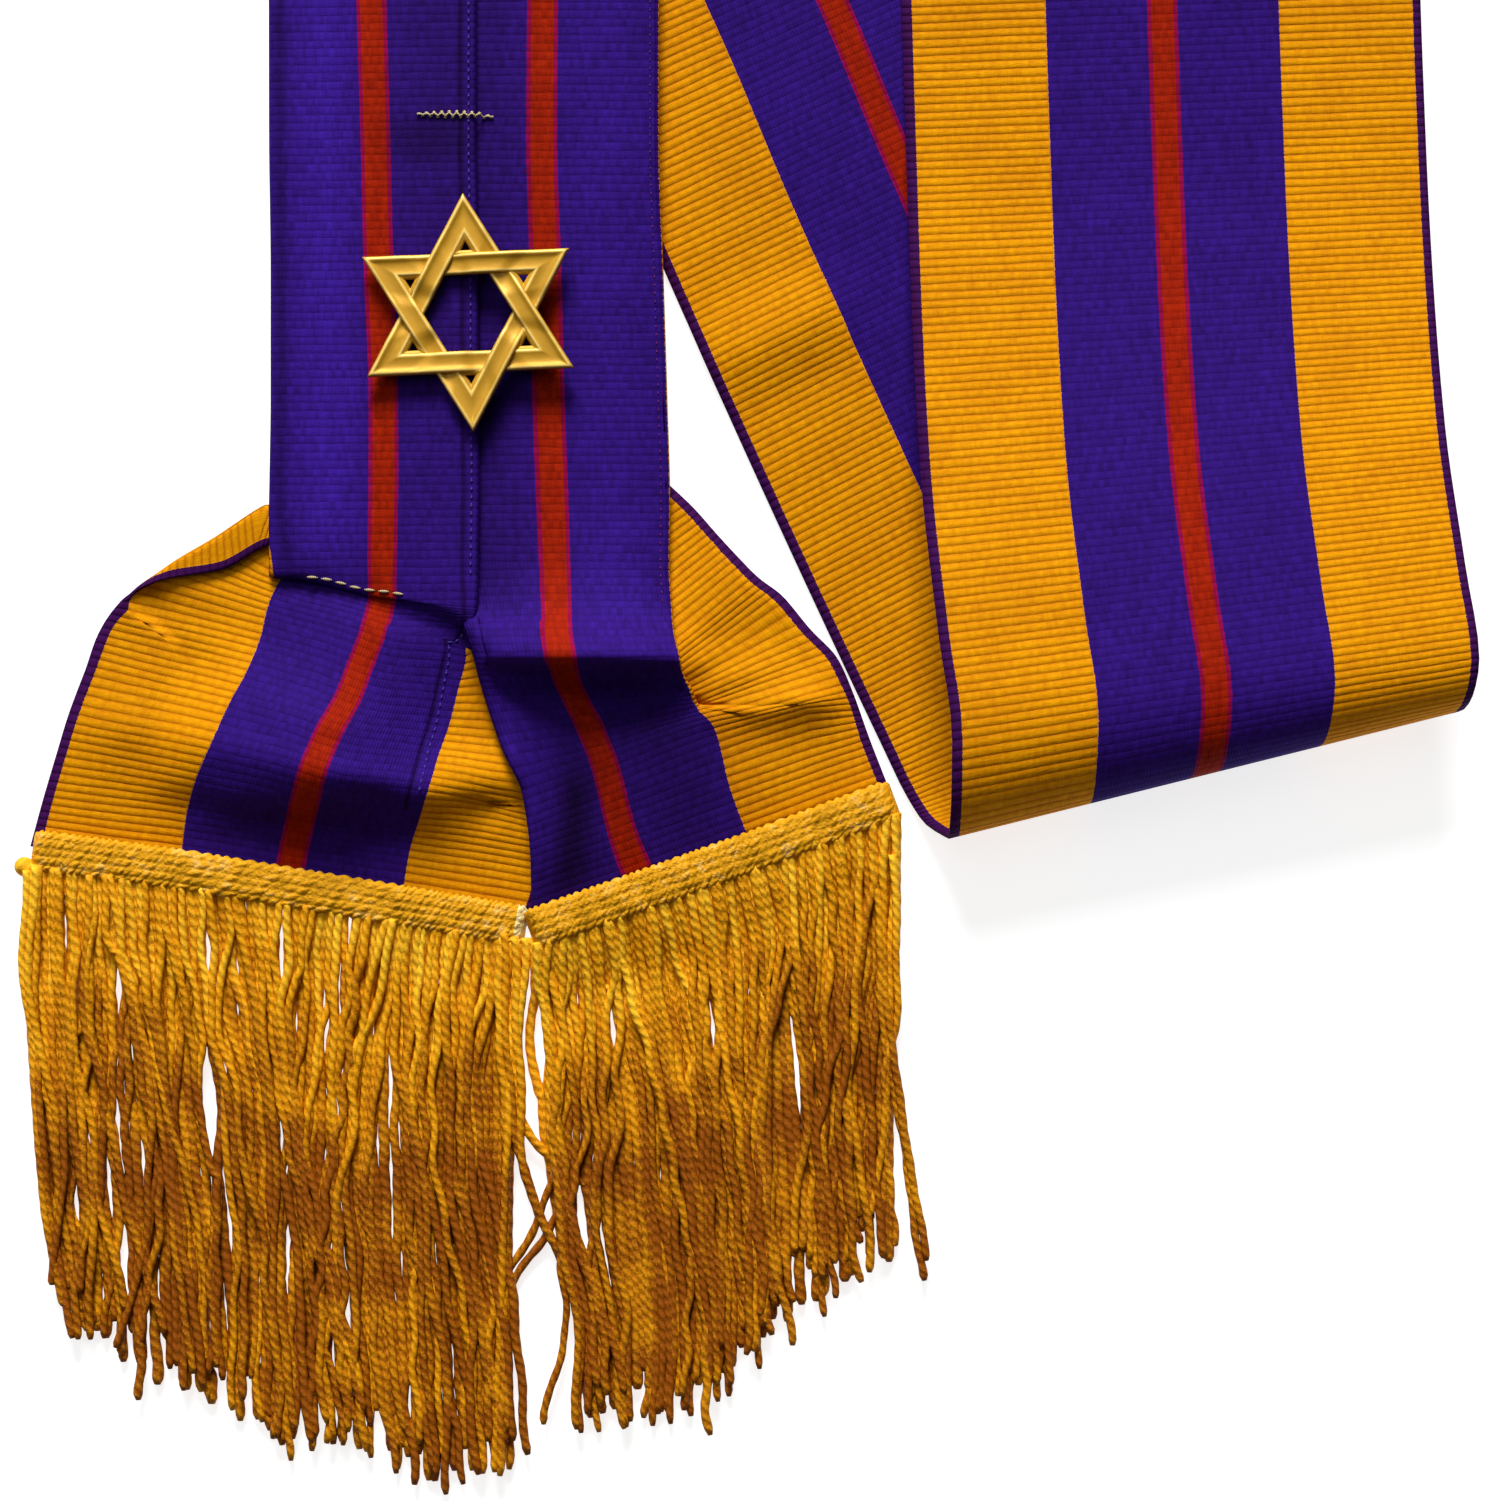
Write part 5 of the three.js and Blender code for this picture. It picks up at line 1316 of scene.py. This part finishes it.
def swayed(x, fallen, t, layer, inner, random):
    """The cords' x with their waves. The lowest layer lies evenly. Those above gather into locks halfway
    down, and each lock drifts to one side and has a slow wave of its own. Its cords also wander across each
    other further down. Every cord adds two finer waves. Cords at the sides move less."""
    count = len(x)
    free = 1.0 if layer else LOWEST_FREE
    lock, members = lock_numbers(count, random.uniform(*LOCK_CORDS), random)
    turn, swing, gather, drift = (
        random.uniform(*span, lock.max() + 1)[lock][:, None] * scale
        for span, scale in ((LOCK_TURN, 1), (LOCK_SWING, free), (LOCK_GATHER, free), (LOCK_DRIFT, free))
    )
    held = smooth((t - 0.08) / 0.35) * (1 - 0.7 * smooth((t - 0.6) / 0.4))
    x = mix(x, members @ x, gather * held)
    x = x + drift * smooth((t - 0.15) / 0.85) * inner
    x = x + swing * np.sin(2 * math.pi * LOCK_WAVES * t + turn) * smooth(t * 2) * inner
    x = x + random.normal(0, CORD_WANDER * layer, (count, 1)) * smooth((t - 0.3) / 0.7) * inner
    for size, low, high in CORD_WAVES:
        sway = random.uniform(0.3, 1.7, (count, 1)) * size * mix(0.35, 1.0, free)
        wave = fallen / random.uniform(low, high, (count, 1)) + random.uniform(0, 1, (count, 1))
        x = x + sway * np.sin(2 * math.pi * wave) * smooth(t * 5) * inner
    return x


def cord_paths(table, heading, gaps, settings, random):
    """Middle lines of a fringe's cords, layer on layer. Each runs from the heading through a middle place to
    its end, on the parabola through the three, with its waves and past the gaps. It comes down from the
    heading's seat to the height of its layer."""
    count = settings.cords
    diameter = settings.diameter / MM
    t = np.linspace(0, 1, CORD_RINGS)[None]
    table = np.array(table)
    number = np.arange(count)
    layers = []
    for layer in range(settings.layers):
        share = (number + 0.5 + (layer % 2 - 0.5) * 0.5) / count
        share = np.clip(share + random.normal(0, 0.12 / count, count), 0.006, 0.994)
        paired = (number // 2 * 2 + 1) / count
        rooted = np.clip(mix(share, paired, PAIRED_ROOTS if layer == 2 else 0.0), 0.008, 0.992)
        x, y, seat, way = along_heading(heading, rooted)
        down = np.stack([way[:, 1], -way[:, 0]], -1)
        root = np.stack([x, y], -1) + down * (HEADING_HEIGHT / 2 - CORD_ROOT)
        middle, end = (
            np.stack([np.interp(share, table[:, 0], table[:, k]) for k in pair], -1)
            for pair in ((1, 2), (3, 4))
        )
        end[:, 1] += random.uniform(-CORD_UNEVEN, CORD_UNEVEN, count) - LAYER_LONGER * layer + 1.0
        end[:, 0] += random.normal(0, 0.3 + 1.4 * layer, count)
        inner = np.clip(np.minimum(share, 1 - share) * 10, 0.1, 1)[:, None]
        x, y = through_three(root, middle, end, t)
        x = parted(swayed(x, root[:, 1:] - y, t, layer, inner, random), y, gaps)
        rest = diameter * (LAYER_REST[0] + LAYER_REST[1] * layer) * (1 - LAYER_SETTLE * t)
        rest = rest + random.uniform(-0.4, 0.4, (count, 1))
        rest = rest + 0.35 * np.sin(t * random.uniform(5, 14, (count, 1)) + 40 * share[:, None])
        rest = np.maximum(rest, diameter * LOWEST_REST)
        z = mix(seat[:, None] * 0.85 + rest * 0.45, rest, smooth(t / 0.22))
        layers.append(np.stack([x, y, z], -1))
    return np.concatenate(layers)


def stray_paths(table, settings, random):
    """Middle lines of the cords that leave their lock, curved through their places. They start over the other
    cords and come down to the surface."""
    places = np.array(table, float).transpose(1, 0, 2)
    knots = np.arange(len(places), dtype=float)[:, None, None]
    spans, shares = spread([STRAY_STEPS] * (len(places) - 1))
    plan = curve_through(places, knots, spans, shares).transpose(1, 0, 2)
    t = np.linspace(0, 1, plan.shape[1])[None]
    waves = 0.3 * np.sin(2 * math.pi * (random.uniform(3, 5, (len(plan), 1)) * t))
    height = settings.diameter / MM * mix(2.6, 0.75, smooth(t))
    return np.stack([plan[..., 0] + waves, plan[..., 1], height + waves * 0], -1)


def cord_piece(name, paths, lowest, settings, random, material):
    """Cords in one mesh, each a little thicker or thinner than the next, and drawn in at its cut end. The
    first ones, of the lowest layer, are thicker and close the ranks."""
    count, rings, _ = paths.shape
    t = np.linspace(0, 1, rings)[None]
    radius = settings.diameter / MM / 2 * random.uniform(0.86, 1.08, (count, 1))
    radius = radius * (1 + 0.05 * np.sin(2 * math.pi * (3 * t + random.uniform(0, 1, (count, 1)))))
    radius[:, -1] *= 0.6
    radius[:lowest] *= LOWEST_SWELL
    points, faces, uv = tubes(paths, radius, CORD_SIDES, CORD_LOBES, 2 * settings.twist / MM)
    return mesh_piece(name, to_part(points), faces, uv, material)


def knot_path():
    """The ball knot at the left end of the left heading: a sphere's radii along a short path."""
    share = np.linspace(-0.96, 0.96, KNOT_RINGS)
    path = np.array(KNOT_PLACE) + share[:, None] * KNOT_RADIUS * np.array([1.0, -0.25, 0.0])
    return path[None], KNOT_RADIUS * np.sqrt(1 - share**2)[None]


class SASH_OT_fringes(bpy.types.Operator):
    """Makes the two fringes, each a woven heading with its cords"""

    bl_idname = "sash.fringes"
    bl_label = "Fringes"

    def execute(self, context):
        settings = context.scene.sash_fringe
        cord = twisted_cord("gold_cord", settings)
        for side, heading, table, gaps, strays, pale_from, seed in FRINGES:
            random = np.random.default_rng(seed)
            fringe = side + "_fringe"
            braid = braid_material(side + "_braid", settings, pale_from)
            dress(braid_piece(fringe + "_heading", heading, braid), "gold_cord", fringe)
            paths = cord_paths(table, heading, gaps, settings, random)
            half = len(paths) // 2
            loose = stray_paths(strays, settings, random)
            for part, some, lowest in (
                ("under", paths[:half], settings.cords), ("over", paths[half:], 0), ("stray", loose, 0),
            ):
                piece = cord_piece(f"{fringe}_cords_{part}", some, lowest, settings, random, cord)
                dress(piece, "gold_cord", fringe)
        points, faces, uv = tubes(*knot_path(), KNOT_SIDES)
        dress(mesh_piece("left_fringe_knot", to_part(points), faces, uv, cord), "gold_cord", "left_fringe")
        return {"FINISHED"}


# Star


def triangle(steps):
    """Points round a triangle of circumradius 1 with its first corner up, and the distance of each from the
    middle of its side, in sides."""
    share = np.arange(3 * steps) / steps
    side = np.floor(share)
    t = share - side
    corner, following = (np.radians(90 + 120 * (side + k)) for k in (0, 1))
    start = np.stack([np.cos(corner), np.sin(corner)], -1)
    end = np.stack([np.cos(following), np.sin(following)], -1)
    return mix(start, end, t[:, None]), t - 0.5


def turned(x, y, degrees):
    cos, sin = math.cos(math.radians(degrees)), math.sin(math.radians(degrees))
    return x * cos - y * sin, x * sin + y * cos


def star_bars(turn):
    """One triangle of bars: its section carried round the outline. Going round, each side passes over the
    other triangle at its first crossing and under it at its second."""
    outline, along = triangle(STAR_STEPS)
    inset, height = STAR_SECTION.T
    middle = STAR_RADIUS / 2 - inset.max() / 2
    crossing = middle * math.tan(math.pi / 6)
    distance = along * STAR_RADIUS * math.sqrt(3)

    def hump(centre):
        return 1 - smooth((np.abs(distance - centre) - STAR_LEVEL) / STAR_FALL)

    weave = STAR_OVER * (hump(-crossing) - hump(crossing))[:, None]
    ring = (STAR_RADIUS - 2 * inset[None, :, None]) * outline[:, None]
    x, y = turned(ring[..., 0], ring[..., 1], turn)
    return np.stack([x, y, height + weave * (height > 0)], -1), inset / 10


def star_web(turn):
    """The plate round one small hole, which lies between two bars and the point of the other triangle."""
    outline, _ = triangle(STAR_WEB_STEPS)
    radius, height = STAR_WEB.T
    reach = STAR_RADIUS / 2 + (STAR_RADIUS / 2 - STAR_SECTION[-1, 0]) / 3 - STAR_SECTION[-1, 0] / 3
    ring = radius[None, :, None] * outline[:, None]
    x, y = turned(ring[..., 0], ring[..., 1] + reach, turn)
    return np.stack([x, y, np.broadcast_to(height, x.shape)], -1), np.full(len(height), STAR_WEB_INSET)


def woven_star():
    """Points, faces and insets of the star round its own middle: two triangles of bars and the six plates."""
    rings = [star_bars(turn) for turn in (0, 180)] + [star_web(turn) for turn in range(0, 360, 60)]
    points, faces, insets = [], [], []
    for ring, inset in rings:
        count, size, _ = ring.shape
        faces.append(ring_faces(count + 1, size) % (count * size) + sum(map(len, points)))
        points.append(ring.reshape(-1, 3))
        insets.append(np.tile(inset, count))
    return [np.concatenate(parts) for parts in (points, faces, insets)]


class SASH_OT_star(bpy.types.Operator):
    """Makes the cast star: two triangles woven through each other"""

    bl_idname = "sash.star"
    bl_label = "Star"

    def execute(self, context):
        points, faces, insets = woven_star()
        x, y = turned(points[:, 0], points[:, 1], STAR_TURN)
        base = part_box("star_ornament")[0][2] / MM
        placed = np.stack([x + STAR_PLACE[0], y + STAR_PLACE[1], points[:, 2] + base], -1)
        uv = np.stack([insets, insets * 0], -1)[faces.ravel()]
        gilt = gilt_material(context.scene.sash_star)
        piece = mesh_piece("star", to_part(placed), faces.tolist(), uv, gilt)
        dress(piece, "gilt_metal", "star_ornament")
        return {"FINISHED"}


class SASH_OT_stage(bpy.types.Operator):
    """Makes the floor, the lights and the camera over the sash"""

    bl_idname = "sash.stage"
    bl_label = "Stage"

    def execute(self, context):
        settings = context.scene.sash_stage
        scene = context.scene
        scene.view_settings.view_transform = "Standard"
        centre = to_part((0.0, 0.0, 0.0))
        floor_mesh = bpy.data.meshes.new("floor")
        corners = [(x * FLOOR_HALF, y * FLOOR_HALF, 0) for x, y in ((-1, -1), (1, -1), (1, 1), (-1, 1))]
        floor_mesh.from_pydata(corners, [], [(0, 1, 2, 3)])
        floor = bpy.data.objects.new("floor", floor_mesh)
        scene.collection.objects.link(floor)
        pale = Finish(
            "pale_floor", Roughness=0.9, Specular_IOR_Level=0.1, Base_Color=(*[FLOOR_GREY] * 3, 1),
            Emission_Color=(1, 1, 1, 1), Emission_Strength=settings.glow,
        )
        floor_mesh.materials.append(pale.material)
        world = bpy.data.worlds.new("soft_studio")
        world.use_nodes = True
        background = world.node_tree.nodes["Background"]
        background.inputs["Color"].default_value = (1, 1, 1, 1)
        background.inputs["Strength"].default_value = settings.sky
        scene.world = world
        for name, spot, size, power in LIGHTS:
            data = bpy.data.lights.new(name, "AREA")
            data.size = size
            data.energy = getattr(settings, power)
            light = bpy.data.objects.new(name, data)
            scene.collection.objects.link(light)
            light.location = [a + b for a, b in zip(centre, spot)]
            aim = np.array(centre) - np.array(light.location)
            light.rotation_mode = "QUATERNION"
            light.rotation_quaternion = Vector(aim).to_track_quat("-Z", "Y")
        data = bpy.data.cameras.new("camera")
        data.sensor_width = SENSOR_WIDTH
        data.lens = SENSOR_WIDTH * settings.camera_height / settings.view_width
        camera = bpy.data.objects.new("camera", data)
        scene.collection.objects.link(camera)
        camera.location = (centre[0], centre[1], settings.camera_height)
        scene.camera = camera
        return {"FINISHED"}


class SASH_PT_panel(bpy.types.Panel):
    """Lists the sash's settings and the buttons that make its pieces"""

    bl_idname = "SASH_PT_panel"
    bl_label = "Ceremonial sash"
    bl_space_type = "VIEW_3D"
    bl_region_type = "UI"
    bl_category = "Sash"

    def draw(self, context):
        for group in ("sash_ribbon", "sash_fringe", "sash_star", "sash_stage"):
            settings = getattr(context.scene, group)
            for name in settings.__annotations__:
                self.layout.prop(settings, name)
        for operator in OPERATORS:
            self.layout.operator(operator.bl_idname)


GROUPS = {
    "sash_ribbon": SashRibbonSettings,
    "sash_fringe": SashFringeSettings,
    "sash_star": SashStarSettings,
    "sash_stage": SashStageSettings,
}
OPERATORS = (SASH_OT_ribbon, SASH_OT_stitching, SASH_OT_fringes, SASH_OT_star, SASH_OT_stage)


def register():
    for group in (*GROUPS.values(), *OPERATORS, SASH_PT_panel):
        bpy.utils.register_class(group)
    for name, group in GROUPS.items():
        setattr(bpy.types.Scene, name, PointerProperty(type=group))


def unregister():
    for name in GROUPS:
        delattr(bpy.types.Scene, name)
    for group in (SASH_PT_panel, *reversed(OPERATORS), *GROUPS.values()):
        bpy.utils.unregister_class(group)


def main():
    register()
    bpy.ops.sash.ribbon()
    bpy.ops.sash.stitching()
    bpy.ops.sash.fringes()
    bpy.ops.sash.star()
    bpy.ops.sash.stage()


if __name__ == "__main__":
    main()
